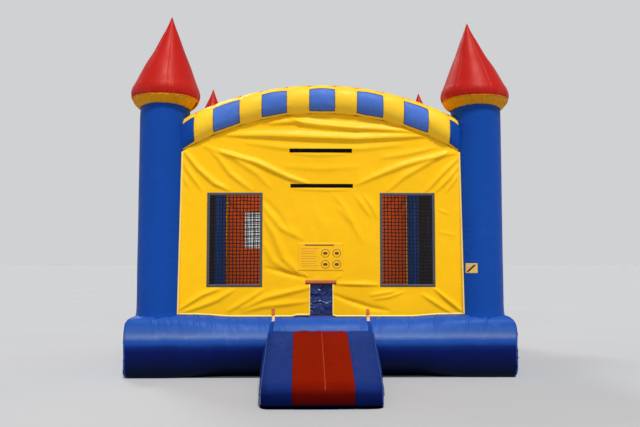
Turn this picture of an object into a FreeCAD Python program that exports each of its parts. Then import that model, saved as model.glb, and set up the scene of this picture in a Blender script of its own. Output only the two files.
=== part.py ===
import FreeCAD, Part
import math
import os

import Sketcher

# Inflatable castle bounce house, standing inflated on level ground.
# Millimetres.  +X to the visitor's right when facing the entrance, +Y from the
# entrance to the back, +Z up.  Origin on the ground under the middle of the
# square base.  Left and right are the visitor's.
# Every inflated chamber is a closed skin with air inside; the sheets, nets and
# webbing are thin closed plates sewn to those skins.

V = FreeCAD.Vector
doc = FreeCAD.newDocument("bounce_house")
sheet = doc.addObject("Spreadsheet::Sheet", "Dimensions")

TABLE = [
    # base
    ("half_side", 2285, "half width of the square base across its bulge"),
    ("ground_inset", 40, "how far the tube tucks in at the ground seam"),
    ("bulge_height", 330, "height where the tube wall becomes upright"),
    ("tube_top", 712, "top of the base tubes"),
    ("tube_depth", 720, "horizontal thickness of a base tube"),
    ("outer_round", 230, "radius of the outer top edge"),
    ("inner_round", 150, "radius of the inner top edge"),
    ("sheet_under", 8, "thickness of the ground sheet"),
    ("skin", 8, "thickness of a chamber's skin"),
    ("sheet_half", 2238, "half width of the ground sheet"),
    # bounce floor
    ("floor_half", 1563, "half width of the bounce floor"),
    ("floor_low", 455, "floor height in the sewn valleys"),
    ("rib_pitch", 347, "spacing of the floor ribs"),
    ("rib_radius", 280, "radius of a floor rib"),
    ("rib_centre", 238, "height of the rib centres"),
    # towers
    ("tower_offset", 1910, "tower axis from the middle, both ways"),
    ("column_radius", 303, "radius of a column"),
    ("column_top", 3190, "top of a column"),
    ("collar_top", 3307, "seam between collar and cone"),
    ("collar_radius", 395, "radius at that seam"),
    # arch
    ("arch_radius", 3390, "radius of the arch beam's centre line"),
    ("arch_drop", 100, "depth of the arch centre below the ground"),
    ("arch_offset", 2050, "arch beam centre plane from the middle"),
    ("arch_high", 176, "half height of the arch beam section"),
    ("arch_deep", 150, "half depth of the arch beam section"),
    ("arch_angle", 69, "angle swept by the arch beam"),
    ("arch_void_angle", 51, "angle swept by the air space in it"),
    ("panel_up", 116, "blue panel reach above the arch centre line"),
    ("panel_down", 146, "blue panel reach below it"),
    # side beams and roof
    ("side_offset", 1765, "side beam and side net from the middle"),
    ("side_radius", 150, "radius of a side beam"),
    ("roof_thick", 6, "thickness of the roof cover"),
    ("roof_half", 1835, "half width of the roof cover"),
    # walls
    ("wall_face", 2098, "outer face of the front and rear walls"),
    ("wall_thick", 6, "thickness of the walls"),
    ("wall_half", 1684, "half width of the walls"),
    ("wall_low", 712.5, "lower edge of the walls"),
    ("window_low", 1038, "lower edge of the front windows"),
    ("window_high", 2160, "upper edge of the front windows"),
    ("window_in", 700, "inner edge of the front windows"),
    ("window_out", 1360, "outer edge of the front windows"),
    ("binding", 30, "width of the net bindings"),
    ("rear_left", 1315, "left edge of the rear window from the middle"),
    ("rear_right", 1130, "right edge of the rear window from the middle"),
    ("rear_low", 1540, "lower edge of the rear window"),
    ("rear_high", 2240, "upper edge of the rear window"),
    ("door_half", 132, "half width of the entrance"),
    ("door_high", 1074, "top of the entrance"),
    ("flap_top", 1104, "sewn top edge of the entrance flaps"),
    ("flap_low", 719, "lower edge of the flaps"),
    ("flap_half", 158, "outer edge of the flaps"),
    # ramp
    ("ramp_offset", -9, "ramp centre from the middle"),
    ("ramp_half", 622, "half width of the ramp"),
    ("ramp_taper_left", 26, "how much the ramp draws in on its left towards the front"),
    ("ramp_taper_right", 70, "how much the ramp draws in on its right towards the front"),
    ("ramp_rear", 2288.6, "rear face of the ramp"),
    ("ramp_rear_high", 540, "ramp height at its rear"),
    ("ramp_front", 3945, "front of the ramp at half height"),
    ("ramp_front_high", 205, "ramp height at its front edge"),
    ("ramp_foot", 3925, "front of the ramp on the ground"),
    ("ramp_round", 95, "rounding of the ramp's top edges"),
    ("tread_half", 300, "half width of the red tread"),
    # blower and sleeve
    ("blower_x", -1250, "middle of the blower across"),
    ("blower_y", 3330, "impeller axis from the middle"),
    ("blower_z", 260, "impeller axis height"),
    ("scroll_radius", 240, "radius of the blower housing"),
    ("scroll_half", 130, "half width of the blower housing"),
    ("shell", 6, "wall of the blower housing"),
    ("nozzle_radius", 110, "radius of the blower outlet"),
    ("nozzle_z", 150, "height of the outlet axis"),
    ("sleeve_radius", 140, "radius of the inflation sleeve"),
    ("impeller_radius", 160, "radius of the impeller"),
    ("impeller_half", 78, "half width of the impeller"),
    ("shaft_radius", 8, "radius of the shaft"),
    # rings
    ("ring_wire", 4, "radius of the ring's wire"),
    ("ring_z", 168, "height of the ring bars"),
    ("ring_y", 1790, "ring position along each side"),
]


class Q:
    """A size: its value, and the sheet expression that drives it."""

    def __init__(self, value, text):
        self.v = float(value)
        self.t = text

    @staticmethod
    def of(x):
        return x if isinstance(x, Q) else Q(x, "(%r)" % float(x))

    def __add__(self, other):
        o = Q.of(other)
        return Q(self.v + o.v, "(%s + %s)" % (self.t, o.t))

    def __radd__(self, other):
        return Q.of(other) + self

    def __sub__(self, other):
        o = Q.of(other)
        return Q(self.v - o.v, "(%s - %s)" % (self.t, o.t))

    def __rsub__(self, other):
        return Q.of(other) - self

    def __mul__(self, other):
        o = Q.of(other)
        return Q(self.v * o.v, "(%s * %s)" % (self.t, o.t))

    def __rmul__(self, other):
        return Q.of(other) * self

    def __truediv__(self, other):
        o = Q.of(other)
        return Q(self.v / o.v, "(%s / %s)" % (self.t, o.t))

    def __neg__(self):
        return Q(-self.v, "(-1 * %s)" % self.t)


def root(q):
    return Q(math.sqrt(q.v), "sqrt(%s)" % q.t)


D = {}
for i, (alias, value, words) in enumerate(TABLE, start=1):
    sheet.set("A%d" % i, words)
    sheet.set("B%d" % i, str(value))
    sheet.setAlias("B%d" % i, alias)
    D[alias] = Q(value, "Dimensions." + alias)
doc.recompute()

AXIS = {"x": V(1, 0, 0), "y": V(0, 1, 0), "z": V(0, 0, 1)}
NODES = []


def bind(obj, prop, q):
    q = Q.of(q)
    if "." not in prop:
        setattr(obj, prop, q.v)
    if "Dimensions" in q.t:
        obj.setExpression(prop, q.t)


def place(obj, x=0, y=0, z=0, turn=None):
    xyz = [Q.of(x), Q.of(y), Q.of(z)]
    rot = turn if turn is not None else FreeCAD.Rotation()
    obj.Placement = FreeCAD.Placement(V(*[q.v for q in xyz]), rot)
    for letter, q in zip("xyz", xyz):
        if "Dimensions" in q.t:
            obj.setExpression("Placement.Base." + letter, q.t)
    return obj


def new(kind, name):
    obj = doc.addObject(kind, name)
    obj.Label = name
    return obj


def box(name, x0, x1, y0, y1, z0, z1):
    """A block between two corners."""
    b = new("Part::Box", name)
    bind(b, "Length", Q.of(x1) - x0)
    bind(b, "Width", Q.of(y1) - y0)
    bind(b, "Height", Q.of(z1) - z0)
    return place(b, x0, y0, z0)


TURN = {
    "z": FreeCAD.Rotation(),
    "x": FreeCAD.Rotation(V(0, 1, 0), 90),
    "y": FreeCAD.Rotation(V(1, 0, 0), -90),
}


def cyl(name, radius, length, x, y, z, along="z"):
    """A round bar from (x, y, z) towards + its axis."""
    c = new("Part::Cylinder", name)
    bind(c, "Radius", radius)
    bind(c, "Height", length)
    return place(c, x, y, z, TURN[along])


def cut(name, base, tool):
    o = new("Part::Cut", name)
    o.Base = base
    o.Tool = tool
    return o


def fuse(name, shapes):
    o = new("Part::MultiFuse", name)
    o.Shapes = shapes
    return o


def common(name, base, tool):
    o = new("Part::Common", name)
    o.Base = base
    o.Tool = tool
    return o


def body(name):
    return new("PartDesign::Body", name)


def plane(b, role):
    return [f for f in b.Origin.OriginFeatures if f.Role == role][0]


def sketch(b, role, name):
    s = b.newObject("Sketcher::SketchObject", name)
    s.Label = name
    s.AttachmentSupport = [(plane(b, role), "")]
    s.MapMode = "FlatFace"
    return s


def outline(s, points):
    """A closed outline with every corner driven by the sheet."""
    pts = [(Q.of(x), Q.of(y)) for x, y in points]
    first = s.GeometryCount
    n = len(pts)
    for i in range(n):
        a, b = pts[i], pts[(i + 1) % n]
        s.addGeometry(Part.LineSegment(V(a[0].v, a[1].v, 0), V(b[0].v, b[1].v, 0)))
    for i in range(n):
        s.addConstraint(
            Sketcher.Constraint("Coincident", first + i, 2, first + (i + 1) % n, 1)
        )
    for i in range(n):
        for kind, q in zip(("DistanceX", "DistanceY"), pts[i]):
            c = s.addConstraint(Sketcher.Constraint(kind, -1, 1, first + i, 1, q.v))
            if "Dimensions" in q.t:
                s.setExpression("Constraints[%d]" % c, q.t)


def ring_line(s, radius, x=0, y=0):
    """A circle driven by the sheet."""
    r, x, y = Q.of(radius), Q.of(x), Q.of(y)
    g = s.addGeometry(Part.Circle(V(x.v, y.v, 0), V(0, 0, 1), r.v))
    for c, q in (
        (Sketcher.Constraint("Radius", g, r.v), r),
        (Sketcher.Constraint("DistanceX", -1, 1, g, 3, x.v), x),
        (Sketcher.Constraint("DistanceY", -1, 1, g, 3, y.v), y),
    ):
        k = s.addConstraint(c)
        if "Dimensions" in q.t:
            s.setExpression("Constraints[%d]" % k, q.t)


def pad(b, s, name, length, both=True):
    p = b.newObject("PartDesign::Pad", name)
    p.Profile = s
    bind(p, "Length", length)
    p.SideType = "Symmetric" if both else "One side"
    s.Visibility = False
    return p


def long_edges(shape, axis, at, tol=0.5):
    """Names of the straight edges along one axis whose middle is at the given place."""
    names = []
    for i, e in enumerate(shape.Edges, start=1):
        m = e.valueAt((e.FirstParameter + e.LastParameter) / 2)
        t = e.tangentAt((e.FirstParameter + e.LastParameter) / 2)
        if abs(abs(t.dot(AXIS[axis])) - 1) > 1e-6:
            continue
        for want in at:
            if all(w is None or abs(w - c) < tol for w, c in zip(want, m)):
                names.append("Edge%d" % i)
    return names


def rounded(b, base, name, groups):
    """Fillets, one feature for each radius."""
    for k, (radius, axis, at) in enumerate(groups):
        doc.recompute()
        edges = long_edges(base.Shape, axis, at)
        if not edges:
            raise ValueError("no edge to round on " + name)
        f = b.newObject("PartDesign::Fillet", "%s_%d" % (name, k))
        f.Base = (base, edges)
        bind(f, "Radius", radius)
        base = f
    return base


def node(name, obj):
    """Names a finished sub-part."""
    obj.Label = name
    NODES.append((name, obj))
    return obj


# ---------------------------------------------------------------- base tubes
# Section of a tube, from the ground seam outwards and over the top.  The
# number is how far the outline is drawn in (a skin) or out (a cover over it).


def tube_blank(name, inset, stretch=0):
    b = body(name)
    s = sketch(b, "YZ_Plane", name + "_section")
    i = Q.of(inset)
    face = D["half_side"] - i
    low = D["sheet_under"] + i
    top = D["tube_top"] - i
    inner = D["half_side"] - D["tube_depth"] + i
    outline(
        s,
        [
            (-(face - D["ground_inset"]), low),
            (-inner, low),
            (-inner, top),
            (-face, top),
            (-face, D["bulge_height"]),
        ],
    )
    p = pad(b, s, name + "_run", 2 * D["half_side"])
    rounded(
        b,
        p,
        name + "_round",
        [
            (D["outer_round"] - i, "x", [(None, -face.v, top.v)]),
            (D["inner_round"] - i, "x", [(None, -inner.v, top.v)]),
            (400, "x", [(None, -face.v, D["bulge_height"].v)]),
        ],
    )
    # mitred ends, drawn back by the skin
    doc.recompute()
    back = i * 1.41421356
    far = D["half_side"] + 400
    s = sketch(b, "XY_Plane", name + "_mitres")
    for sign in (1, -1):
        outline(
            s,
            [
                (sign * (far - back), -far),
                (sign * (far + 300), -far),
                (sign * (far + 300), Q.of(0)),
                (sign * (D["half_side"] * 0 + 200 - back), Q.of(-200)),
            ],
        )
    c = b.newObject("PartDesign::Pocket", name + "_mitre_cuts")
    c.Profile = s
    c.Type = "ThroughAll"
    c.SideType = "Symmetric"
    s.Visibility = False
    b.Tip = c
    return b


ROTATE = {"front": 0, "right": 90, "rear": 180, "left": 270}
tube_solids = []
for side, angle in ROTATE.items():
    outer = tube_blank(side + "_tube_outer", 0)
    inner = tube_blank(side + "_tube_air", D["skin"])
    tube = cut(side + "_tube_skin", outer, inner)
    tube.Placement = FreeCAD.Placement(V(0, 0, 0), FreeCAD.Rotation(V(0, 0, 1), angle))
    node(side + "_base_tube", tube)
    solid = tube_blank(side + "_tube_solid", 0)
    solid.Placement = FreeCAD.Placement(V(0, 0, 0), FreeCAD.Rotation(V(0, 0, 1), angle))
    tube_solids.append(solid)
base_solid = fuse("base_solid", tube_solids)

h = D["sheet_half"]
node("ground_sheet", box("ground_sheet", -h, h, -h, h, 0, D["sheet_under"]))

# -------------------------------------------------------------- bounce floor
# Nine sewn ribs run from front to back; webs inside hold the valleys down.


def floor_blank(name, inset):
    i = Q.of(inset)
    half = D["floor_half"] - i
    ribs = []
    for k in range(-4, 5):
        ribs.append(
            cyl(
                "%s_rib_%d" % (name, k + 5),
                D["rib_radius"] - i,
                2 * half,
                D["rib_pitch"] * k,
                -half,
                D["rib_centre"],
                "y",
            )
        )
    rounds = fuse(name + "_ribs", ribs)
    clip = box(
        name + "_clip", -half, half, -half, half, D["rib_centre"] - 40, D["tube_top"]
    )
    crown = common(name + "_crown", rounds, clip)
    slab = box(
        name + "_slab", -half, half, -half, half, D["sheet_under"] + i + 0.2, D["rib_centre"]
    )
    return fuse(name, [crown, slab])


node(
    "bounce_floor",
    cut("floor_skin", floor_blank("floor_outer", 0), floor_blank("floor_air", D["skin"])),
)
half = D["floor_half"] - 30
webs = [
    box(
        "web_%d" % (k + 5),
        D["rib_pitch"] * (k + 0.5) - 2,
        D["rib_pitch"] * (k + 0.5) + 2,
        -half,
        half,
        D["sheet_under"] + D["skin"] + 1,
        D["floor_low"] - D["skin"] - 12,
    )
    for k in range(-4, 4)
]
node("floor_baffles", fuse("floor_webs", webs))

# ------------------------------------------------------------------- towers
# (name, sign of x, sign of y, cone height above the collar seam, lean)
TOWERS = [
    ("front_left", -1, -1, 1056, 61, 12),
    ("front_right", 1, -1, 1000, 83, 12),
    ("rear_left", -1, 1, 1092, 61, 12),
    ("rear_right", 1, 1, 1034, 83, 12),
]
# cone outline: share of its height, radius as a share of the seam's, share of lean
CONE = [
    (0.0, 1.000, 0.0),
    (0.035, 1.035, 0.0),
    (0.074, 1.046, 0.03),
    (0.125, 1.018, 0.07),
    (0.174, 0.957, 0.12),
    (0.410, 0.684, 0.36),
    (0.576, 0.471, 0.62),
    (0.742, 0.289, 0.82),
    (0.912, 0.095, 0.97),
    (0.994, 0.020, 1.0),
]

columns = []
for name, sx, sy, high, lean_x, lean_y in TOWERS:
    cx, cy = sx * D["tower_offset"], sy * D["tower_offset"]
    # column: an upright tube whose foot is cut to sit on the base
    post = cyl(name + "_post", D["column_radius"], D["column_top"] - 560, cx, cy, 560)
    shaped = cut(name + "_post_on_base", post, base_solid)
    air = cyl(
        name + "_post_air",
        D["column_radius"] - D["skin"],
        D["column_top"] - D["skin"] - D["tube_top"] - 20,
        cx,
        cy,
        D["tube_top"] + 20,
    )
    node(name + "_column", cut(name + "_column_skin", shaped, air))
    columns.append((name, cx, cy))
    # collar: the flared skirt between the column and the cone
    b = body(name + "_collar_body")
    s = sketch(b, "XZ_Plane", name + "_collar_wall")
    outline(
        s,
        [
            (D["column_radius"] - D["skin"], D["column_top"] + 0.2),
            (D["column_radius"] + 1, D["column_top"] + 0.2),
            (D["collar_radius"], D["collar_top"] - 0.2),
            (D["collar_radius"] - D["skin"] * 1.4, D["collar_top"] - 0.2),
        ],
    )
    r = b.newObject("PartDesign::Revolution", name + "_collar_turn")
    r.Profile = s
    r.ReferenceAxis = (s, ["V_Axis"])
    r.Angle = 360
    s.Visibility = False
    place(b, cx, cy, 0)
    node(name + "_collar", b)

    # cone: round at the seam, fullest just above it, leaning a little inwards
    def cone_blank(tag, inset, rows):
        rings = []
        for k, (share, fat, bend) in enumerate(rows):
            c = new("Part::Circle", "%s_%s_ring_%d" % (name, tag, k))
            bind(c, "Radius", D["collar_radius"] * fat - inset)
            z = D["collar_top"] + share * high
            if k == 0 and inset:
                z = z + inset
            place(c, cx - sx * lean_x * bend, cy - sy * lean_y * bend, z)
            rings.append(c)
        loft = new("Part::Loft", "%s_%s" % (name, tag))
        loft.Sections = rings
        loft.Solid = True
        loft.Ruled = True
        return loft

    outer = cone_blank("cone_outer", 0, CONE)
    inner = cone_blank("cone_air", D["skin"].v + 1, CONE[:-1])
    node(name + "_cone", cut(name + "_cone_skin", outer, inner))


def column_tools(tag, names, grow=0.3):
    return fuse(
        tag,
        [
            cyl("%s_%s" % (tag, n), D["column_radius"] + grow, 4000, x, y, 0)
            for n, x, y in columns
            if n in names
        ],
    )


# -------------------------------------------------------------- arch beams
def arch_blank(name, grow, angle, y):
    """A beam bent to a circular arc in an upright plane."""
    e = new("Part::Ellipse", name + "_section")
    bind(e, "MajorRadius", D["arch_high"] + grow)
    bind(e, "MinorRadius", D["arch_deep"] + grow)
    place(
        e, 0, y, D["arch_radius"] - D["arch_drop"], FreeCAD.Rotation(V(0, 1, 0), -90)
    )
    r = new("Part::Revolution", name)
    r.Source = e
    r.Axis = V(0, 1, 0)
    r.Base = V(0, y.v, -D["arch_drop"].v)
    r.setExpression("Base.z", (-D["arch_drop"]).t)
    r.setExpression("Base.y", y.t)
    bind(r, "Angle", angle)
    r.Symmetric = True
    r.Solid = True
    return r


# blue panels of the front arch, as seen from the front: left and right edges
PANELS = [
    (-1690, -1530),
    (-1292, -975),
    (-714, -412),
    (-145, 164),
    (426, 742),
    (989, 1284),
    (1541, 1690),
]
for side, sign in (("front", -1), ("rear", 1)):
    y = sign * D["arch_offset"]
    tools = column_tools(side + "_arch_ends", [side + "_left", side + "_right"])
    outer = cut(
        side + "_arch_outer", arch_blank(side + "_arch", 0, D["arch_angle"], y), tools
    )
    air = arch_blank(side + "_arch_air", -D["skin"], D["arch_void_angle"], y)
    node(side + "_arch_beam", cut(side + "_arch_skin", outer, air))

    # panels: thin covers on the outward half of the beam
    over = arch_blank(side + "_panel_over", 2.5, D["arch_angle"], y)
    under = arch_blank(side + "_panel_under", 0.4, D["arch_angle"] + 4, y)
    skin = cut(side + "_panel_sheet", over, under)
    lo = y - 200 if sign < 0 else y
    big = cyl(
        side + "_panel_limit_up",
        D["arch_radius"] + D["panel_up"],
        200,
        0,
        lo,
        -D["arch_drop"],
        "y",
    )
    small = cyl(
        side + "_panel_limit_down",
        D["arch_radius"] - D["panel_down"],
        200,
        0,
        lo,
        -D["arch_drop"],
        "y",
    )
    band = common(
        side + "_panel_band", skin, cut(side + "_panel_limits", big, small)
    )
    pieces = [
        box(
            "%s_panel_%d" % (side, k),
            x0 if sign < 0 else -x1,
            x1 if sign < 0 else -x0,
            lo,
            lo + 200,
            2000,
            4000,
        )
        for k, (x0, x1) in enumerate(PANELS)
    ]
    cuts = common(side + "_panel_cut", band, fuse(side + "_panel_slots", pieces))
    ends = column_tools(side + "_panel_ends", [side + "_left", side + "_right"], 1.0)
    node(side + "_arch_blue_panels", cut(side + "_panels", cuts, ends))

# -------------------------------------------------------- side beams and roof
reach = D["arch_radius"] + D["arch_high"] + 0.5
side_z = (
    root(
        (reach - 0.5 - D["side_radius"]) * (reach - 0.5 - D["side_radius"])
        - D["side_offset"] * D["side_offset"]
    )
    - D["arch_drop"]
)
for side, sign in (("left", -1), ("right", 1)):
    x = sign * D["side_offset"]
    bar = cyl(side + "_beam_bar", D["side_radius"], 3680, x, -1840, side_z, "y")
    tools = column_tools(side + "_beam_ends", ["front_" + side, "rear_" + side])
    outer = cut(side + "_beam_outer", bar, tools)
    air = cyl(
        side + "_beam_air", D["side_radius"] - D["skin"], 3160, x, -1580, side_z, "y"
    )
    node(side + "_top_beam", cut(side + "_beam_skin", outer, air))

far = D["arch_offset"]
roof_out = cyl(
    "roof_out", reach + D["roof_thick"], 2 * far, 0, -far, -D["arch_drop"], "y"
)
roof_in = cyl(
    "roof_in", reach, 2 * far + 20, 0, -far - 10, -D["arch_drop"], "y"
)
roof_clip = box(
    "roof_clip", -D["roof_half"], D["roof_half"], -far, far, 2500, 4200
)
roof = common("roof_vault", cut("roof_ring", roof_out, roof_in), roof_clip)
tools = column_tools("roof_notches", [n for n, _, _ in columns], 0.6)
node("roof_cover", cut("roof_sheet", roof, tools))

# ------------------------------------------------------------------- walls


def wall_blank(name, sign):
    """An arched sheet between the columns, its top edge under the arch beam."""
    y0 = sign * D["wall_face"] if sign < 0 else D["wall_face"] - D["wall_thick"]
    y1 = y0 + D["wall_thick"]
    plate = box(
        name + "_plate", -D["wall_half"], D["wall_half"], y0, y1, D["wall_low"], 3300
    )
    crown = cyl(
        name + "_crown",
        D["arch_radius"] - 171,
        D["wall_thick"] + 20,
        0,
        y0 - 10,
        -D["arch_drop"],
        "y",
    )
    arched = common(name + "_arched", plate, crown)
    side = "front" if sign < 0 else "rear"
    tools = column_tools(name + "_sides", [side + "_left", side + "_right"], 0.5)
    return cut(name + "_trimmed", arched, tools)


front = wall_blank("front_sheet", -1)
w_in, w_out = D["window_in"], D["window_out"]
w_low, w_high = D["window_low"], D["window_high"]
yf = -D["wall_face"]
holes = [
    box("window_hole_left", -w_out, -w_in, yf - 50, yf + 50, w_low, w_high),
    box("window_hole_right", w_in, w_out, yf - 50, yf + 50, w_low, w_high),
    box(
        "entrance_hole",
        -D["door_half"],
        D["door_half"],
        yf - 50,
        yf + 50,
        D["wall_low"] - 50,
        D["door_high"],
    ),
]
node("front_wall", cut("front_wall_sheet", front, fuse("front_wall_holes", holes)))


def frame_and_net(name, x0, x1, y0, y1, z0, z1, axis):
    """A stitched binding around a window, and the net that it holds."""
    w = D["binding"]
    mid = (Q.of(y0) + y1) * 0.5
    if axis == "y":
        outer = box(name + "_rim", x0 + 0.5, x1 - 0.5, y0, y1, z0 + 0.5, z1 - 0.5)
        hole = box(name + "_rim_hole", x0 + w, x1 - w, y0 - 10, y1 + 10, z0 + w, z1 - w)
        net = box(
            name + "_net",
            x0 + w + 0.4,
            x1 - w - 0.4,
            mid - 1.5,
            mid + 1.5,
            z0 + w + 0.4,
            z1 - w - 0.4,
        )
    else:
        mid = (Q.of(x0) + x1) * 0.5
        outer = box(name + "_rim", x0, x1, y0 + 0.5, y1 - 0.5, z0 + 0.5, z1 - 0.5)
        hole = box(name + "_rim_hole", x0 - 10, x1 + 10, y0 + w, y1 - w, z0 + w, z1 - w)
        net = box(
            name + "_net",
            mid - 1.5,
            mid + 1.5,
            y0 + w + 0.4,
            y1 - w - 0.4,
            z0 + w + 0.4,
            z1 - w - 0.4,
        )
    return cut(name + "_frame", outer, hole), net


fl, nl = frame_and_net("front_left_window", -w_out, -w_in, yf - 2, yf + 8, w_low, w_high, "y")
fr, nr = frame_and_net("front_right_window", w_in, w_out, yf - 2, yf + 8, w_low, w_high, "y")
node("front_window_bindings", fuse("front_bindings", [fl, fr]))
node("front_window_nets", fuse("front_nets", [nl, nr]))

rear = wall_blank("rear_sheet", 1)
yr = D["wall_face"]
rear_hole = box(
    "rear_window_hole",
    -D["rear_left"],
    D["rear_right"],
    yr - 50,
    yr + 50,
    D["rear_low"],
    D["rear_high"],
)
node("rear_wall", cut("rear_wall_sheet", rear, rear_hole))
frame, net = frame_and_net(
    "rear_window",
    -D["rear_left"],
    D["rear_right"],
    yr - 8,
    yr + 2,
    D["rear_low"],
    D["rear_high"],
    "y",
)
node("rear_window_binding", frame)
node("rear_window_net", net)

# side nets stand on the base tubes, between the columns, under the side beams
side_frames = []
net_top = side_z - D["side_radius"] - 0.5
for side, sign in (("left", -1), ("right", 1)):
    x = sign * D["side_offset"]
    frame, net = frame_and_net(
        side + "_side",
        x - 5,
        x + 5,
        Q.of(-1640),
        Q.of(1640),
        D["wall_low"],
        net_top,
        "x",
    )
    side_frames.append(frame)
    node(side + "_side_net", net)
node("side_net_bindings", fuse("side_bindings", side_frames))

# sewn-on pieces of the front wall
face = yf - 0.3
node(
    "banner_strips",
    fuse(
        "hook_and_loop",
        [
            box("banner_strip_upper", -381, 368, face - 3, face, 2645, 2690),
            box("banner_strip_lower", -368, 379, face - 3, face, 2221, 2266),
        ],
    ),
)
node("info_patch", box("info_patch", -277, 233, face - 2, face, 1233, 1523))
node(
    "entrance_header_strap",
    box("entrance_header_strap", -189, 179, face - 4, face, 1076, 1122),
)
# patch on the right front column
ring = cut(
    "column_patch_ring",
    cyl("column_patch_out", D["column_radius"] + 2.3, 116, D["tower_offset"], -D["tower_offset"], 1202),
    cyl("column_patch_in", D["column_radius"] + 0.3, 130, D["tower_offset"], -D["tower_offset"], 1195),
)
node(
    "column_patch",
    common(
        "column_patch_piece",
        ring,
        box("column_patch_clip", 1711, 1839, -D["tower_offset"] - 400, -D["tower_offset"], 1150, 1400),
    ),
)

# entrance flaps: two sheets sewn to the back of the wall along their top edge
back = yf + D["wall_thick"] + 5
for side, x0, x1 in (
    ("left", -D["flap_half"], Q.of(-1.5)),
    ("right", Q.of(1.5), D["flap_half"]),
):
    node(
        "entrance_flap_" + side,
        box(
            "entrance_flap_" + side,
            x0,
            x1,
            back,
            back + 3,
            D["flap_low"],
            D["flap_top"],
        ),
    )

# ------------------------------------------------------------------- ramp


def ramp_blank(name, inset, half, tapered=False):
    i = Q.of(inset)
    b = body(name)
    s = sketch(b, "YZ_Plane", name + "_side_view")
    outline(
        s,
        [
            (-(D["ramp_rear"] + i), i),
            (-(D["ramp_foot"] - i), i),
            (-(D["ramp_front"] - i), D["ramp_front_high"] * 0.5),
            (-(D["ramp_front"] - 10 - i), D["ramp_front_high"] - i),
            (-(D["ramp_rear"] + i), D["ramp_rear_high"] - i),
        ],
    )
    p = pad(b, s, name + "_width", half * 2)
    if tapered:
        # both sides draw in towards the front, seen from above
        for side, sign in (("left", -1), ("right", 1)):
            t = sketch(b, "XY_Plane", name + "_" + side + "_plan")
            outline(
                t,
                [
                    (sign * half, -D["ramp_rear"]),
                    (sign * half - sign * D["ramp_taper_" + side], -D["ramp_front"]),
                    (sign * (half + 60), -D["ramp_front"]),
                    (sign * (half + 60), -D["ramp_rear"]),
                ],
            )
            q = b.newObject("PartDesign::Pocket", name + "_" + side + "_draw")
            q.Profile = t
            bind(q, "Length", D["ramp_rear_high"] * 3)
            q.SideType = "Symmetric"
            t.Visibility = False
            p = q
    return b, p


def ramp_round(b, p, name, i, half, sides):
    front = -(D["ramp_front"].v - 10 - i)
    groups = [
        (
            D["ramp_round"] - i,
            "x",
            [(None, front, D["ramp_front_high"].v - i)],
        )
    ]
    rounded(b, p, name, groups)
    if sides:
        # the four long edges down the sides of the sloping top and the front
        doc.recompute()
        base = b.Tip
        names = []
        run = D["ramp_front"].v - D["ramp_rear"].v

        def off_side(q):
            t = D["ramp_taper_left" if q.x < 0 else "ramp_taper_right"].v
            return abs(abs(q.x) - (half - t * (-q.y - D["ramp_rear"].v) / run)) < 0.5

        for k, e in enumerate(base.Shape.Edges, start=1):
            m = e.valueAt((e.FirstParameter + e.LastParameter) / 2)
            ends = [v.Point for v in e.Vertexes]
            flat = off_side(m) and all(off_side(q) for q in ends)
            upper = m.z > D["ramp_front_high"].v * 0.55 and m.y < -(D["ramp_rear"].v + 20)
            if flat and upper:
                names.append("Edge%d" % k)
        f = b.newObject("PartDesign::Fillet", name + "_sides")
        f.Base = (base, names)
        bind(f, "Radius", D["ramp_round"] * 0.9 - i)


b, p = ramp_blank("ramp_outer", 0, D["ramp_half"], True)
ramp_round(b, p, "ramp_outer_round", 0.0, D["ramp_half"].v, True)
place(b, D["ramp_offset"], 0, 0)
a, p = ramp_blank("ramp_air", D["skin"], D["ramp_half"] - D["skin"], True)
ramp_round(a, p, "ramp_air_round", D["skin"].v, D["ramp_half"].v - D["skin"].v, True)
place(a, D["ramp_offset"], 0, 0)
node("ramp_cushion", cut("ramp_skin", b, a))

# red tread: a cover over the slope and down the front
over, p = ramp_blank("tread_over", -2.4, D["tread_half"])
ramp_round(over, p, "tread_over_round", -2.4, D["tread_half"].v, False)
under, p = ramp_blank("tread_under", -0.4, D["tread_half"] + 20)
ramp_round(under, p, "tread_under_round", -0.4, D["tread_half"].v + 20, False)
clip = box(
    "tread_clip",
    -D["tread_half"],
    D["tread_half"],
    -D["ramp_front"] - 20,
    -D["ramp_rear"] - 3,
    12,
    D["ramp_rear_high"] + 20,
)
tread = common("tread_piece", cut("tread_sheet", over, under), clip)
place(tread, D["ramp_offset"] - 9, 0, 0)
node("ramp_red_tread", tread)

# straps and tabs that hold the ramp to the base: covers that follow the tube
strap_over = tube_blank("strap_over", -3.4)
strap_under = tube_blank("strap_under", -0.4)
strap_sheet = cut("strap_sheet", strap_over, strap_under)
strap_slots = fuse(
    "strap_slots",
    [
        box("strap_slot_left", -586, -546, -2300, yf - 6, 655, 740),
        box("strap_slot_right", 532, 572, -2300, yf - 6, 655, 740),
        ],
)
on_tube = common("straps_on_tube", strap_sheet, strap_slots)
uprights = [
    box("strap_upright_left", -586, -546, face - 3, face, D["tube_top"] + 1.5, 788),
    box("strap_upright_right", 532, 572, face - 3, face, D["tube_top"] + 1.5, 780),
]
node("ramp_tie_straps", fuse("tie_straps", [on_tube] + uprights))


def tab(name, points):
    """An upright prism whose outline is seen from the front."""
    b = body(name)
    s = sketch(b, "XZ_Plane", name + "_outline")
    outline(s, points)
    p = b.newObject("PartDesign::Pad", name + "_through")
    p.Profile = s
    p.Length = 500
    s.Visibility = False
    # stands in front of the base, from -2300 towards the middle
    b.Placement = FreeCAD.Placement(V(0, -1900, 0), FreeCAD.Rotation())
    return b


left_tab = tab(
    "tab_left_outline", [(-578, 653), (-554, 653), (-580, 560), (-600, 432), (-640, 432), (-620, 560)]
)
right_tab = tab(
    "tab_right_outline", [(540, 653), (564, 653), (606, 560), (626, 432), (586, 432), (566, 560)]
)
node(
    "ramp_tie_tabs",
    common("tie_tabs", strap_sheet, fuse("tab_outlines", [left_tab, right_tab])),
)

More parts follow.
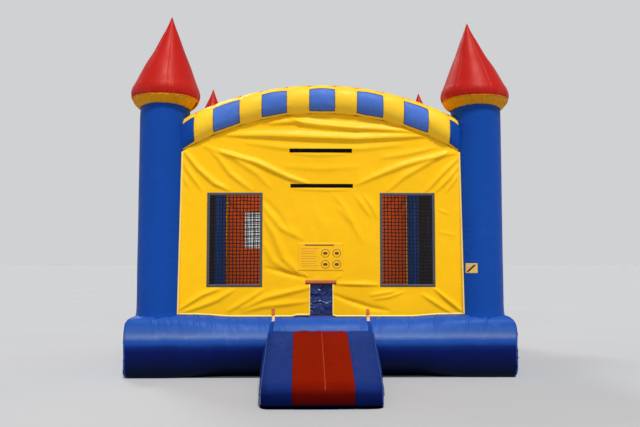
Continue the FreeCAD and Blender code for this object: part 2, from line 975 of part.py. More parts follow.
# ------------------------------------------------------------- anchor rings
# One on each side near each corner: a webbing patch whose loop holds the
# straight bar of a steel D ring.  The ring hangs from its bar.
slope = math.degrees(
    math.atan2(D["ground_inset"].v, D["bulge_height"].v - D["sheet_under"].v)
)
bar_x = D["half_side"] + 3
patches = []
for name, sx, sy in (
    ("front_left", -1, -1),
    ("front_right", 1, -1),
    ("rear_left", -1, 1),
    ("rear_right", 1, 1),
):
    yc = sy * D["ring_y"]
    z = D["ring_z"]
    w = D["ring_wire"]
    x = sx * bar_x
    # loop of webbing around the bar, with a tongue back to the tube
    outer = cyl(name + "_loop_out", w + 3.0, 36, x, yc - 18, z, "y")
    bore = cyl(name + "_loop_bore", w + 0.5, 40, x, yc - 20, z, "y")
    if sx < 0:
        tongue = box(name + "_tongue", x, x + 40, yc - 18, yc + 18, z + 1.5, z + w + 3)
    else:
        tongue = box(name + "_tongue", x - 40, x, yc - 18, yc + 18, z + 1.5, z + w + 3)
    solid = fuse(name + "_loop_solid", [outer, tongue])
    loop = cut(name + "_loop_hollow", solid, bore)
    patches.append(cut(name + "_loop", loop, base_solid))
    # steel ring: bar, two shoulders and a half round bow
    bar = cyl(name + "_bar", w, 60, x, yc - 30, z, "y")
    legs = [
        cyl("%s_leg_%s" % (name, s), w, 22, x, yc + dy, z - 22)
        for s, dy in (("a", -30), ("b", 30))
    ]
    knobs = []
    for s, dy in (("a", -30), ("b", 30)):
        k = new("Part::Sphere", "%s_corner_%s" % (name, s))
        bind(k, "Radius", w)
        place(k, x, yc + dy, z)
        knobs.append(k)
    bow = new("Part::Torus", name + "_bow")
    bow.Radius1 = 30
    bind(bow, "Radius2", w)
    bow.Angle3 = 180
    place(
        bow,
        x,
        yc,
        z - 22,
        FreeCAD.Rotation(V(0, 1, 0), V(0, 0, -1), V(-1, 0, 0), "XYZ"),
    )
    node("anchor_ring_" + name, fuse(name + "_ring", [bar] + legs + knobs + [bow]))
node("anchor_webbing", fuse("anchor_loops", patches))

# ------------------------------------------------------ deflation zip, rear
zx0, zx1 = 880, 1520
ry = D["half_side"]
tape = box("zip_tape", zx0, zx1, ry + 0.3, ry + 1.8, 372, 412)
coil = box("zip_coil", zx0 + 10, zx1 - 10, ry + 1.8, ry + 4.4, 388.5, 395.5)
node("deflation_zip_tape", fuse("zip", [tape, coil]))
slider = box("slider_block", 1470, 1496, ry + 2.3, ry + 11, 384, 400)
channel = box("slider_channel", 1460, 1500, ry + 2.2, ry + 4.9, 387.9, 396.1)
pull = box("slider_pull", 1478, 1488, ry + 8, ry + 11, 345, 390)
eye = cyl("slider_eye", 2.5, 20, 1483, ry, 353, "y")
node(
    "deflation_zip_slider",
    cut("slider_cut", fuse("slider_solid", [slider, pull]), fuse("slider_gaps", [channel, eye])),
)

# ------------------------------------------------------ sleeve and blower
bx, by, bz = D["blower_x"], D["blower_y"], D["blower_z"]
nr, nz = D["nozzle_radius"], D["nozzle_z"]
# sleeve: a soft duct from the rear tube, gathered down on to the outlet
b = body("sleeve_body")
s = sketch(b, "XY_Plane", "sleeve_wall")
t = 5
outline(
    s,
    [
        (D["sleeve_radius"] - t, 2180),
        (D["sleeve_radius"], 2180),
        (D["sleeve_radius"], 2880),
        (nr + 1 + t, 2965),
        (nr + 1 + t, 3060),
        (nr + 1, 3060),
        (nr + 1, 2965),
        (D["sleeve_radius"] - t, 2878),
    ],
)
r = b.newObject("PartDesign::Revolution", "sleeve_turn")
r.Profile = s
r.ReferenceAxis = (s, ["V_Axis"])
r.Angle = 360
s.Visibility = False
place(b, bx, 0, nz)
node("inflation_sleeve", cut("sleeve_end", b, base_solid))

ring = cut(
    "sleeve_strap_ring",
    cyl("strap_out", nr + 10, 38, bx, 3002, nz, "y"),
    cyl("strap_in", nr + 6.4, 60, bx, 2990, nz, "y"),
)
buckle = cut(
    "strap_buckle",
    box("buckle_block", bx - 24, bx + 24, 2998, 3044, nz + nr + 8, nz + nr + 16),
    cyl("buckle_seat", nr + 9, 80, bx, 2980, nz, "y"),
)
node("sleeve_strap", fuse("strap_and_buckle", [ring, buckle]))


def drum(name, radius, half_width, edge):
    """A short drum across the blower, with rounded rims."""
    b = body(name)
    s = sketch(b, "YZ_Plane", name + "_circle")
    ring_line(s, radius)
    p = pad(b, s, name + "_width", half_width * 2)
    doc.recompute()
    rims = [
        "Edge%d" % k
        for k, e in enumerate(p.Shape.Edges, start=1)
        if e.isClosed()
    ]
    f = b.newObject("PartDesign::Fillet", name + "_rims")
    f.Base = (p, rims)
    bind(f, "Radius", edge)
    place(b, bx, by, bz)
    return b


hs, hw, sh = D["scroll_radius"], D["scroll_half"], D["shell"]
drum_out = drum("scroll_outer", hs, hw, 30)
drum_in = drum("scroll_air", hs - sh, hw - sh, 25)
nozzle = cyl("nozzle_out", nr, 400, bx, by - 390, nz, "y")
nozzle_in = cyl("nozzle_in", nr - sh, 420, bx, by - 400, nz, "y")
grip = cut(
    "grip",
    box("grip_block", bx - 80, bx + 80, by - 20, by + 20, bz + hs - 22, bz + hs + 62),
    box("grip_gap", bx - 58, bx + 58, by - 40, by + 40, bz + hs + 8, bz + hs + 44),
)
feet = [
    box(
        "foot_%d" % k,
        bx + sx * 118 - 16,
        bx + sx * 118 + 16,
        by + sy * 150 - 30,
        by + sy * 150 + 30,
        0,
        120 if abs(sx) else 0,
    )
    for k, (sx, sy) in enumerate([(-1, -1), (1, -1), (-1, 1), (1, 1)])
]
solid = fuse("housing_solid", [drum_out, nozzle, grip] + feet)
air = fuse("housing_air", [drum_in, nozzle_in])
hollow = cut("housing_hollow", solid, air)
ports = fuse(
    "housing_ports",
    [
        cyl("intake_port", 98, 100, bx + hw - 50, by, bz, "x"),
        cyl("shaft_port", 14, 100, bx - hw - 50, by, bz, "x"),
    ],
)
node("blower_housing", cut("housing", hollow, ports))

# motor on the left of the housing, with its switch box on top
mr = 76
mx0 = bx - hw - 190
motor = body("motor_body")
s = sketch(motor, "YZ_Plane", "motor_circle")
ring_line(s, mr)
p = pad(motor, s, "motor_length", 189.5, both=False)
doc.recompute()
rims = [
    "Edge%d" % k
    for k, e in enumerate(p.Shape.Edges, start=1)
    if e.isClosed() and abs(e.BoundBox.XMin) < 1
]
f = motor.newObject("PartDesign::Fillet", "motor_rim")
f.Base = (p, rims)
f.Radius = 16
place(motor, mx0, by, bz)
switch_box = box("switch_box", mx0 + 60, mx0 + 130, by - 26, by + 26, bz + mr - 14, bz + mr + 24)
gland = cyl("cord_gland", 9, 26, mx0 + 44, by, bz + mr + 4, "x")
recess = box("switch_recess", mx0 + 79, mx0 + 111, by - 10, by + 10, bz + mr + 10, bz + mr + 30)
pivot_bore = cyl("pivot_bore", 1.6, 30, mx0 + 95, by - 15, bz + mr + 20, "y")
motor_bore = cyl("motor_bore", D["shaft_radius"] + 0.05, 60, bx - hw - 50, by, bz, "x")
node(
    "blower_motor",
    cut(
        "motor",
        fuse("motor_solid", [motor, switch_box, gland]),
        fuse("motor_gaps", [recess, pivot_bore, motor_bore]),
    ),
)
# rocker: tilted to its running position
rocker = body("rocker_body")
s = sketch(rocker, "XZ_Plane", "rocker_side")
outline(s, [(-14, -3), (0, -6), (14, -3), (14, 5), (0, 3), (-14, 5)])
p = pad(rocker, s, "rocker_width", 18)
place(rocker, mx0 + 95, by, bz + mr + 20, FreeCAD.Rotation(V(0, 1, 0), 7))
pivot = cyl("rocker_pivot", 1.5, 26, mx0 + 95, by - 13, bz + mr + 20, "y")
node("blower_switch", fuse("rocker", [rocker, pivot]))

# shaft and impeller
node(
    "blower_shaft",
    cyl("blower_shaft", D["shaft_radius"], 240, bx - hw - 48, by, bz, "x"),
)
imp = body("impeller_body")
ir, ih = D["impeller_radius"], D["impeller_half"]
s = sketch(imp, "YZ_Plane", "back_plate_circle")
ring_line(s, ir)
plate = pad(imp, s, "back_plate", 3, both=False)
doc.recompute()
s = sketch(imp, "YZ_Plane", "blade_section")
outline(s, [(ir - 34, -1.5), (ir - 1, -1.5), (ir - 1, 1.5), (ir - 34, 1.5)])
blade = pad(imp, s, "blade", ih * 2, both=False)
doc.recompute()
ring = imp.newObject("PartDesign::PolarPattern", "blades")
ring.Originals = [blade]
ring.Axis = (plane(imp, "X_Axis"), [""])
ring.Angle = 360
ring.Occurrences = 28
imp.Tip = ring
doc.recompute()
s = sketch(imp, "YZ_Plane", "hub_circle")
ring_line(s, 22)
hub = pad(imp, s, "hub", 60, both=False)
doc.recompute()
s = sketch(imp, "YZ_Plane", "bore_circle")
ring_line(s, D["shaft_radius"])
bore = imp.newObject("PartDesign::Pocket", "bore")
bore.Profile = s
bore.Type = "ThroughAll"
bore.SideType = "Symmetric"
s.Visibility = False
place(imp, bx - ih, by, bz)
rim = cut(
    "impeller_rim",
    cyl("rim_out", ir, 3, bx + ih, by, bz, "x"),
    cyl("rim_in", ir - 36, 20, bx + ih - 5, by, bz, "x"),
)
node("blower_impeller", fuse("impeller", [imp, rim]))

# intake guard: rings and spokes of wire over the intake
gx = bx + hw + 6
rings = []
for r_mm in (34, 68, 104):
    g = new("Part::Torus", "guard_ring_%d" % r_mm)
    g.Radius1 = r_mm
    g.Radius2 = 2.6 if r_mm < 100 else 5.5
    place(g, gx, by, bz, TURN["x"])
    rings.append(g)
for k in range(6):
    a = 60 * k
    c = new("Part::Cylinder", "guard_spoke_%d" % k)
    c.Radius = 2.4
    c.Height = 104
    c.Placement = FreeCAD.Placement(
        V(gx.v, by.v, bz.v), FreeCAD.Rotation(V(1, 0, 0), a)
    )
    for letter, q in zip("xyz", (gx, by, bz)):
        c.setExpression("Placement.Base." + letter, q.t)
    rings.append(c)
node("blower_intake_guard", fuse("guard", rings))

# ------------------------------------------------------------ check and write
doc.recompute()
failed = [o.Label for o in doc.Objects if {"Invalid", "Error"} & set(o.State)]
if failed:
    raise SystemExit("failed to build: " + ", ".join(failed[:20]))
names = [n for n, _ in NODES]
if len(names) != len(set(names)):
    raise SystemExit("two sub-parts share a name")
if len(names) > 60:
    raise SystemExit("too many sub-parts: %d" % len(names))
for name, obj in NODES:
    shape = obj.Shape
    if shape.isNull() or not shape.isValid() or not shape.Solids:
        raise SystemExit(name + " has no valid solid")
os.makedirs("parts", exist_ok=True)
for old in os.listdir("parts"):
    if old.endswith(".step") and old[:-5] not in names:
        os.remove(os.path.join("parts", old))
for name, obj in NODES:
    obj.Shape.exportStep("parts/%s.step" % name)
    bb = obj.Shape.BoundBox
    print(
        "%-26s solids %2d  volume %.5f m3  x %.0f..%.0f  y %.0f..%.0f  z %.0f..%.0f"
        % (
            name,
            len(obj.Shape.Solids),
            obj.Shape.Volume / 1e9,
            bb.XMin,
            bb.XMax,
            bb.YMin,
            bb.YMax,
            bb.ZMin,
            bb.ZMax,
        )
    )
print("sub-parts", len(names))
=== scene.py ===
import math

import bmesh
import bpy
import numpy as np
from mathutils import Matrix, Vector


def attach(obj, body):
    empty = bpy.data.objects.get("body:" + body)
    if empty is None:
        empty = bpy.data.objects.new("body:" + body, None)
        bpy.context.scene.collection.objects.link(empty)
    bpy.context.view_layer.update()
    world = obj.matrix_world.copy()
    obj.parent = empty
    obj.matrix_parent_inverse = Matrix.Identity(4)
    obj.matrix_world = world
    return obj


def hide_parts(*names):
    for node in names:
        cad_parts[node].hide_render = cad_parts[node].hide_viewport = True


# Inflatable castle bounce house.  Metres, +Z up, -Y towards the visitor, origin
# on the ground under the middle of the square base.
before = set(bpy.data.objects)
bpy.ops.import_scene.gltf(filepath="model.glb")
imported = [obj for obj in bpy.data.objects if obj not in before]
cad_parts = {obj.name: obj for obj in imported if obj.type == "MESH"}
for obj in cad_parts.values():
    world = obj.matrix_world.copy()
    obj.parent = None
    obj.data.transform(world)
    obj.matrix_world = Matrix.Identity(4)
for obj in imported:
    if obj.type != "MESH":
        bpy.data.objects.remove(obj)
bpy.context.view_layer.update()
PI = math.pi


# --------------------------------------------------------------- small tools
def smooth(a, b, x):
    t = np.clip((np.asarray(x, float) - a) / (b - a), 0, 1)
    return t * t * (3 - 2 * t)


def _hash(ix, iy, iz, seed):
    n = (ix * 374761393 + iy * 668265263 + iz * 1440662683 + seed * 974634777) & 0xFFFFFFFF
    n = ((n ^ (n >> 13)) * 1274126177) & 0xFFFFFFFF
    return ((n ^ (n >> 16)) & 0xFFFF) / 32767.5 - 1.0


def noise(x, y=0.0, z=0.0, seed=0):
    """Smooth value noise, -1 to 1, the same on every run."""
    x, y, z = np.broadcast_arrays(*[np.asarray(v, float) for v in (x, y, z)])
    ix, iy, iz = (np.floor(v).astype(np.int64) for v in (x, y, z))
    fx, fy, fz = x - ix, y - iy, z - iz
    fx, fy, fz = (f * f * f * (f * (f * 6 - 15) + 10) for f in (fx, fy, fz))
    out = 0
    for dx in (0, 1):
        for dy in (0, 1):
            for dz in (0, 1):
                w = (fx if dx else 1 - fx) * (fy if dy else 1 - fy) * (fz if dz else 1 - fz)
                out = out + w * _hash(ix + dx, iy + dy, iz + dz, seed)
    return out


def fbm(x, y=0.0, z=0.0, seed=0, octaves=3):
    out, amp = 0, 1.0
    for k in range(octaves):
        out = out + amp * noise(x * 2 ** k, y * 2 ** k, z * 2 ** k, seed + 17 * k)
        amp *= 0.5
    return out


def ridge(x, y=0.0, z=0.0, seed=0):
    """Thin crests, 0 to 1."""
    return np.clip(1 - np.abs(noise(x, y, z, seed)) * 2.6, 0, 1) ** 2


def steps(keys, step):
    out = []
    for a, b in zip(keys[:-1], keys[1:]):
        n = max(1, int(math.ceil((b - a) / step - 1e-6)))
        out += list(np.linspace(a, b, n + 1)[:-1])
    return np.array(out + [keys[-1]])


def make(name, verts, faces, uvs=None, smooth_faces=True, closed=True):
    mesh = bpy.data.meshes.new(name)
    mesh.from_pydata([tuple(map(float, v)) for v in verts], [], [tuple(map(int, f)) for f in faces])
    mesh.validate()
    if uvs is not None:
        layer = mesh.uv_layers.new(name="UVMap")
        idx = np.zeros(len(mesh.loops), np.int32)
        mesh.loops.foreach_get("vertex_index", idx)
        layer.data.foreach_set("uv", np.asarray(uvs, np.float32)[idx].ravel())
    if smooth_faces:
        mesh.polygons.foreach_set("use_smooth", [True] * len(mesh.polygons))
    obj = bpy.data.objects.new(name, mesh)
    bpy.context.scene.collection.objects.link(obj)
    if closed:
        bm = bmesh.new()
        bm.from_mesh(mesh)
        bmesh.ops.remove_doubles(bm, verts=bm.verts, dist=1e-5)
        bmesh.ops.dissolve_degenerate(bm, edges=bm.edges, dist=1e-6)
        bmesh.ops.recalc_face_normals(bm, faces=bm.faces)
        bm.to_mesh(mesh)
        bm.free()
        if smooth_faces:
            mesh.polygons.foreach_set("use_smooth", [True] * len(mesh.polygons))
    return obj


def grid_faces(nu, nv, wrap_v=False, keep=None, start=0):
    i, j = np.meshgrid(np.arange(nu - 1), np.arange(nv if wrap_v else nv - 1), indexing="ij")
    j2 = (j + 1) % nv
    f = np.stack([i * nv + j, (i + 1) * nv + j, (i + 1) * nv + j2, i * nv + j2], -1).reshape(-1, 4)
    if keep is not None:
        f = f[np.asarray(keep).ravel()]
    return f + start


def loops_body(name, P, uv=None):
    """A closed form from rings of points: P[ring, point, xyz], ends capped."""
    nu, nv = P.shape[:2]
    verts = P.reshape(-1, 3)
    faces = list(grid_faces(nu, nv, wrap_v=True))
    centres = np.array([P[0].mean(0), P[-1].mean(0)])
    verts = np.vstack([verts, centres])
    a, b = nu * nv, nu * nv + 1
    for j in range(nv):
        faces.append((a, (j + 1) % nv, j))
        faces.append((b, (nu - 1) * nv + j, (nu - 1) * nv + (j + 1) % nv))
    faces = [tuple(f) for f in faces]
    return make(name, verts, faces)


def bake(obj):
    dg = bpy.context.evaluated_depsgraph_get()
    mesh = bpy.data.meshes.new_from_object(obj.evaluated_get(dg))
    old = obj.data
    obj.modifiers.clear()
    obj.data = mesh
    bpy.data.meshes.remove(old)
    mesh.polygons.foreach_set("use_smooth", [True] * len(mesh.polygons))
    return obj


def sheet_solid(name, P, N, thick, lift=0.0, keep=None, uv=None):
    """A thin closed sheet over a grid of points P with outward directions N."""
    nu, nv = P.shape[:2]
    top = P + N * (lift + thick)
    low = P + N * lift
    if keep is None:
        keep = np.ones((nu - 1, nv - 1), bool)
    f_top = grid_faces(nu, nv, keep=keep)
    f_low = grid_faces(nu, nv, keep=keep, start=nu * nv)[:, ::-1]
    # walls along every edge used by one face only
    e = np.concatenate([f_top[:, [0, 1]], f_top[:, [1, 2]], f_top[:, [2, 3]], f_top[:, [3, 0]]])
    key = np.sort(e, 1)
    key = key[:, 0].astype(np.int64) * (nu * nv) + key[:, 1]
    _, first, count = np.unique(key, return_index=True, return_counts=True)
    rim = e[first[count == 1]]
    n = nu * nv
    f_rim = np.stack([rim[:, 1], rim[:, 0], rim[:, 0] + n, rim[:, 1] + n], 1)
    faces = np.concatenate([f_top, f_low, f_rim])
    verts = np.vstack([top.reshape(-1, 3), low.reshape(-1, 3)])
    uvs = None
    if uv is not None:
        uvs = np.vstack([uv.reshape(-1, 2)] * 2)
    used = np.unique(faces)
    remap = np.full(len(verts), -1)
    remap[used] = np.arange(len(used))
    return make(name, verts[used], remap[faces], None if uvs is None else uvs[used], closed=False)


def surface_patch(name, S, U, V, lift, thick, uv_scale=(1, 1), keep=None, flip=False):
    """A thin piece lying on the surface S(u, v) over the grid U x V."""
    u, v = np.meshgrid(U, V, indexing="ij")
    P = S(u, v)
    h = 1e-3
    du = S(u + h, v) - S(u - h, v)
    dv = S(u, v + h) - S(u, v - h)
    N = np.cross(du, dv)
    N /= np.maximum(np.linalg.norm(N, axis=-1, keepdims=True), 1e-12)
    if flip:
        N = -N
    uv = np.stack([u * uv_scale[0], v * uv_scale[1]], -1)
    return sheet_solid(name, P, N, thick, lift, keep, uv)


def join(name, objs):
    verts, faces, uvs, base = [], [], [], 0
    have_uv = all(o.data.uv_layers for o in objs)
    bm = bmesh.new()
    for o in objs:
        bm.from_mesh(o.data)
    mesh = bpy.data.meshes.new(name)
    bm.to_mesh(mesh)
    bm.free()
    for o in objs:
        m = o.data
        bpy.data.objects.remove(o)
        bpy.data.meshes.remove(m)
    mesh.polygons.foreach_set("use_smooth", [True] * len(mesh.polygons))
    obj = bpy.data.objects.new(name, mesh)
    bpy.context.scene.collection.objects.link(obj)
    return obj


# ----------------------------------------------------------------- materials
def srgb(r, g, b):
    out = []
    for c in (r, g, b):
        c /= 255.0
        out.append(c / 12.92 if c <= 0.04045 else ((c + 0.055) / 1.055) ** 2.4)
    return (*out, 1.0)


class Nodes:
    def __init__(self, name):
        self.mat = bpy.data.materials.new(name)
        self.mat.use_nodes = True
        self.t = self.mat.node_tree
        self.t.nodes.clear()
        self.out = self.t.nodes.new("ShaderNodeOutputMaterial")
        self.bsdf = self.t.nodes.new("ShaderNodeBsdfPrincipled")
        self.t.links.new(self.bsdf.outputs[0], self.out.inputs[0])

    def n(self, kind, **props):
        node = self.t.nodes.new(kind)
        for k, v in props.items():
            setattr(node, k, v)
        return node

    def link(self, a, b):
        self.t.links.new(a, b)

    def put(self, node, **vals):
        for k, v in vals.items():
            sock = node.inputs[k.replace("_", " ")] if not isinstance(k, int) else node.inputs[k]
            if isinstance(v, bpy.types.NodeSocket):
                self.link(v, sock)
            else:
                sock.default_value = v
        return node

    def math(self, op, a, b=None, c=None, clamp=False):
        m = self.n("ShaderNodeMath", operation=op, use_clamp=clamp)
        for k, v in enumerate((a, b, c)):
            if v is None:
                continue
            if isinstance(v, bpy.types.NodeSocket):
                self.link(v, m.inputs[k])
            else:
                m.inputs[k].default_value = v
        return m.outputs[0]

    def mix(self, fac, a, b, blend="MIX"):
        m = self.n("ShaderNodeMix", data_type="RGBA", blend_type=blend)
        for k, v in ((0, fac), (6, a), (7, b)):
            if isinstance(v, bpy.types.NodeSocket):
                self.link(v, m.inputs[k])
            else:
                m.inputs[k].default_value = v
        return m.outputs[2]

    def noise(self, vec, scale, detail=3.0, rough=0.5, distort=0.0):
        t = self.n("ShaderNodeTexNoise")
        self.link(vec, t.inputs["Vector"])
        t.inputs["Scale"].default_value = scale
        t.inputs["Detail"].default_value = detail
        t.inputs["Roughness"].default_value = rough
        t.inputs["Distortion"].default_value = distort
        return t.outputs[0]

    def range(self, v, a, b, c, d):
        m = self.n("ShaderNodeMapRange")
        self.link(v, m.inputs[0])
        for k, x in zip((1, 2, 3, 4), (a, b, c, d)):
            m.inputs[k].default_value = x
        return m.outputs[0]


def scaled(c, k):
    return (min(c[0] * k, 1), min(c[1] * k, 1), min(c[2] * k, 1), 1)


def coated_cloth(name, color, rough=0.45, coat=0.0, vary=0.07, pale=None, crease=1.0,
                 weave=1.0, painted_light_bands=None, soil=0.35, spec=0.22, tint=None):
    """PVC coated woven cloth: faint scrim, soft creases, faded and soiled places, and where given, bands of painted
    shade and painted highlight by height.
    """
    m = Nodes(name)
    co = m.n("ShaderNodeTexCoord").outputs["Object"]
    big = m.noise(co, 0.9, 4, 0.55)
    fine = m.noise(co, 14, 6, 0.62, 0.4)
    tone = m.range(big, 0.3, 0.7, 0, 1)
    col = m.mix(tone, scaled(color, 1 - vary), scaled(color, 1 + vary))
    col = m.mix(m.range(fine, 0.35, 0.75, 0, 0.5), col, scaled(color, 1 - vary * 1.4))
    if pale is not None:
        # paler patches: rubbed crests of creases, and on the entrance flaps a painted highlight standing in for light
        # on the crumpled cloth
        rub = m.noise(co, 3.2, 8, 0.7, 1.6)
        col = m.mix(m.range(rub, 0.56, 0.72, 0, 0.35), col, pale)
    sep = m.n("ShaderNodeSeparateXYZ")
    m.link(co, sep.inputs[0])
    x, y, z = sep.outputs
    if soil:
        # dust and scuffs near the ground
        low = m.range(z, 0.0, 0.32, 1, 0)
        low = m.math("MULTIPLY", low, m.range(m.noise(co, 5, 8, 0.7, 0.5), 0.42, 0.7, 0, soil))
        col = m.mix(low, col, scaled(color, 0.55))
    if painted_light_bands is not None:
        # painted shade and painted highlight by height: the ramp on z darkens the lower faces down to the ground and
        # brightens a band where light falls
        edge = m.math("MULTIPLY_ADD", m.noise(co, 2.3, 3, 0.5), 0.05, -0.025)
        level = m.math("ADD", z, edge)
        ramp = m.n("ShaderNodeValToRGB")
        m.link(level, ramp.inputs[0])
        cr = ramp.color_ramp
        cr.elements[0].position, cr.elements[0].color = painted_light_bands[0][0], painted_light_bands[0][1]
        cr.elements[1].position, cr.elements[1].color = painted_light_bands[-1][0], painted_light_bands[-1][1]
        for h_, c_ in painted_light_bands[1:-1]:
            cr.elements.new(h_).color = c_
        col = m.mix(1.0, col, ramp.outputs[0], "MULTIPLY")
    m.put(m.bsdf, Base_Color=col)
    # scrim: crossed threads 1.6 mm apart on every direction of the cloth
    k = 2 * PI / 0.0016
    threads = m.math("ADD", m.math("SINE", m.math("MULTIPLY", x, k)),
                     m.math("ADD", m.math("SINE", m.math("MULTIPLY", y, k)),
                            m.math("SINE", m.math("MULTIPLY", z, k))))
    b1 = m.n("ShaderNodeBump")
    b1.inputs["Strength"].default_value = 0.10 * weave
    b1.inputs["Distance"].default_value = 0.0003
    m.link(threads, b1.inputs["Height"])
    b2 = m.n("ShaderNodeBump")
    b2.inputs["Strength"].default_value = 0.22 * crease
    b2.inputs["Distance"].default_value = 0.012
    m.link(m.noise(co, 5.5, 7, 0.58, 0.9), b2.inputs["Height"])
    m.link(b1.outputs[0], b2.inputs["Normal"])
    m.link(b2.outputs[0], m.bsdf.inputs["Normal"])
    m.link(m.range(m.noise(co, 7, 5, 0.6), 0.3, 0.7, rough - 0.05, rough + 0.07), m.bsdf.inputs["Roughness"])
    m.bsdf.inputs["Coat Weight"].default_value = coat
    m.bsdf.inputs["Coat Roughness"].default_value = 0.28
    m.bsdf.inputs["Specular IOR Level"].default_value = spec
    if tint is not None:
        m.bsdf.inputs["Specular Tint"].default_value = tint
    return m.mat


def stitched(name, color, thread, rows=(0.28, 0.72), pitch=0.009, rough=0.5, ribbed=0.0, width=1.0):
    """Tape or webbing with rows of lockstitch; U runs along it, V across, 0 to 1."""
    m = Nodes(name)
    tc = m.n("ShaderNodeTexCoord")
    sep = m.n("ShaderNodeSeparateXYZ")
    m.link(tc.outputs["UV"], sep.inputs[0])
    u, v = sep.outputs[0], sep.outputs[1]
    dash = m.math("LESS_THAN", m.math("FRACT", m.math("MULTIPLY", u, 1 / pitch)), 0.66)
    rowmask = None
    for r in rows:
        d = m.math("LESS_THAN", m.math("ABSOLUTE", m.math("SUBTRACT", v, r)), 0.035 * width)
        rowmask = d if rowmask is None else m.math("MAXIMUM", rowmask, d)
    mask = m.math("MULTIPLY", dash, rowmask)
    co = tc.outputs["Object"]
    var = m.range(m.noise(co, 6, 5, 0.6), 0.3, 0.7, 0, 1)
    base = m.mix(var, scaled(color, 0.9), scaled(color, 1.08))
    ribs = m.math("SINE", m.math("MULTIPLY", u, 2 * PI / 0.0022))
    if ribbed:
        base = m.mix(m.range(ribs, -1, 1, 0, 0.35), base, scaled(color, 0.7))
    col = m.mix(mask, base, thread)
    m.put(m.bsdf, Base_Color=col)
    h = m.math("ADD", m.math("MULTIPLY", mask, 1.0), m.math("MULTIPLY", ribs, 0.3 * (0.3 + ribbed)))
    b = m.n("ShaderNodeBump")
    b.inputs["Strength"].default_value = 0.35
    b.inputs["Distance"].default_value = 0.0012
    m.link(h, b.inputs["Height"])
    m.link(b.outputs[0], m.bsdf.inputs["Normal"])
    m.link(m.range(m.noise(co, 20, 4, 0.6), 0.3, 0.7, rough - 0.06, rough + 0.08), m.bsdf.inputs["Roughness"])
    return m.mat


def fibrous(name, color, rough=0.85, scale=260, depth=0.001, spec=0.25):
    """Hook and loop tape, netting twine, woven tape without stitch rows."""
    m = Nodes(name)
    co = m.n("ShaderNodeTexCoord").outputs["Object"]
    n1 = m.noise(co, scale, 4, 0.7)
    col = m.mix(m.range(n1, 0.3, 0.7, 0, 1), scaled(color, 0.7), scaled(color, 1.4))
    m.put(m.bsdf, Base_Color=col)
    b = m.n("ShaderNodeBump")
    b.inputs["Strength"].default_value = 0.5
    b.inputs["Distance"].default_value = depth
    m.link(n1, b.inputs["Height"])
    m.link(b.outputs[0], m.bsdf.inputs["Normal"])
    m.link(m.range(m.noise(co, 30, 3, 0.5), 0.3, 0.7, rough - 0.08, rough + 0.06), m.bsdf.inputs["Roughness"])
    m.bsdf.inputs["Specular IOR Level"].default_value = spec
    return m.mat


def moulded(name, color, rough=0.45, grain=420, depth=0.0004, wear=None, metal=0.0, spec=0.5):
    """Moulded plastic, painted or plated metal with fine grain and rubbed places."""
    m = Nodes(name)
    tc = m.n("ShaderNodeTexCoord")
    co = tc.outputs["Object"]
    grains = m.noise(co, grain, 3, 0.6)
    blotch = m.noise(co, 11, 5, 0.6, 0.6)
    col = m.mix(m.range(blotch, 0.3, 0.72, 0, 1), scaled(color, 0.9), scaled(color, 1.1))
    if wear is not None:
        scuff = m.noise(co, 38, 7, 0.75, 2.0)
        col = m.mix(m.range(scuff, 0.62, 0.74, 0, 0.6), col, wear)
    m.put(m.bsdf, Base_Color=col)
    b = m.n("ShaderNodeBump")
    b.inputs["Strength"].default_value = 0.3
    b.inputs["Distance"].default_value = depth
    m.link(grains, b.inputs["Height"])
    m.link(b.outputs[0], m.bsdf.inputs["Normal"])
    m.link(m.range(blotch, 0.3, 0.7, rough - 0.07, rough + 0.1), m.bsdf.inputs["Roughness"])
    m.bsdf.inputs["Metallic"].default_value = metal
    m.bsdf.inputs["Specular IOR Level"].default_value = spec
    return m.mat


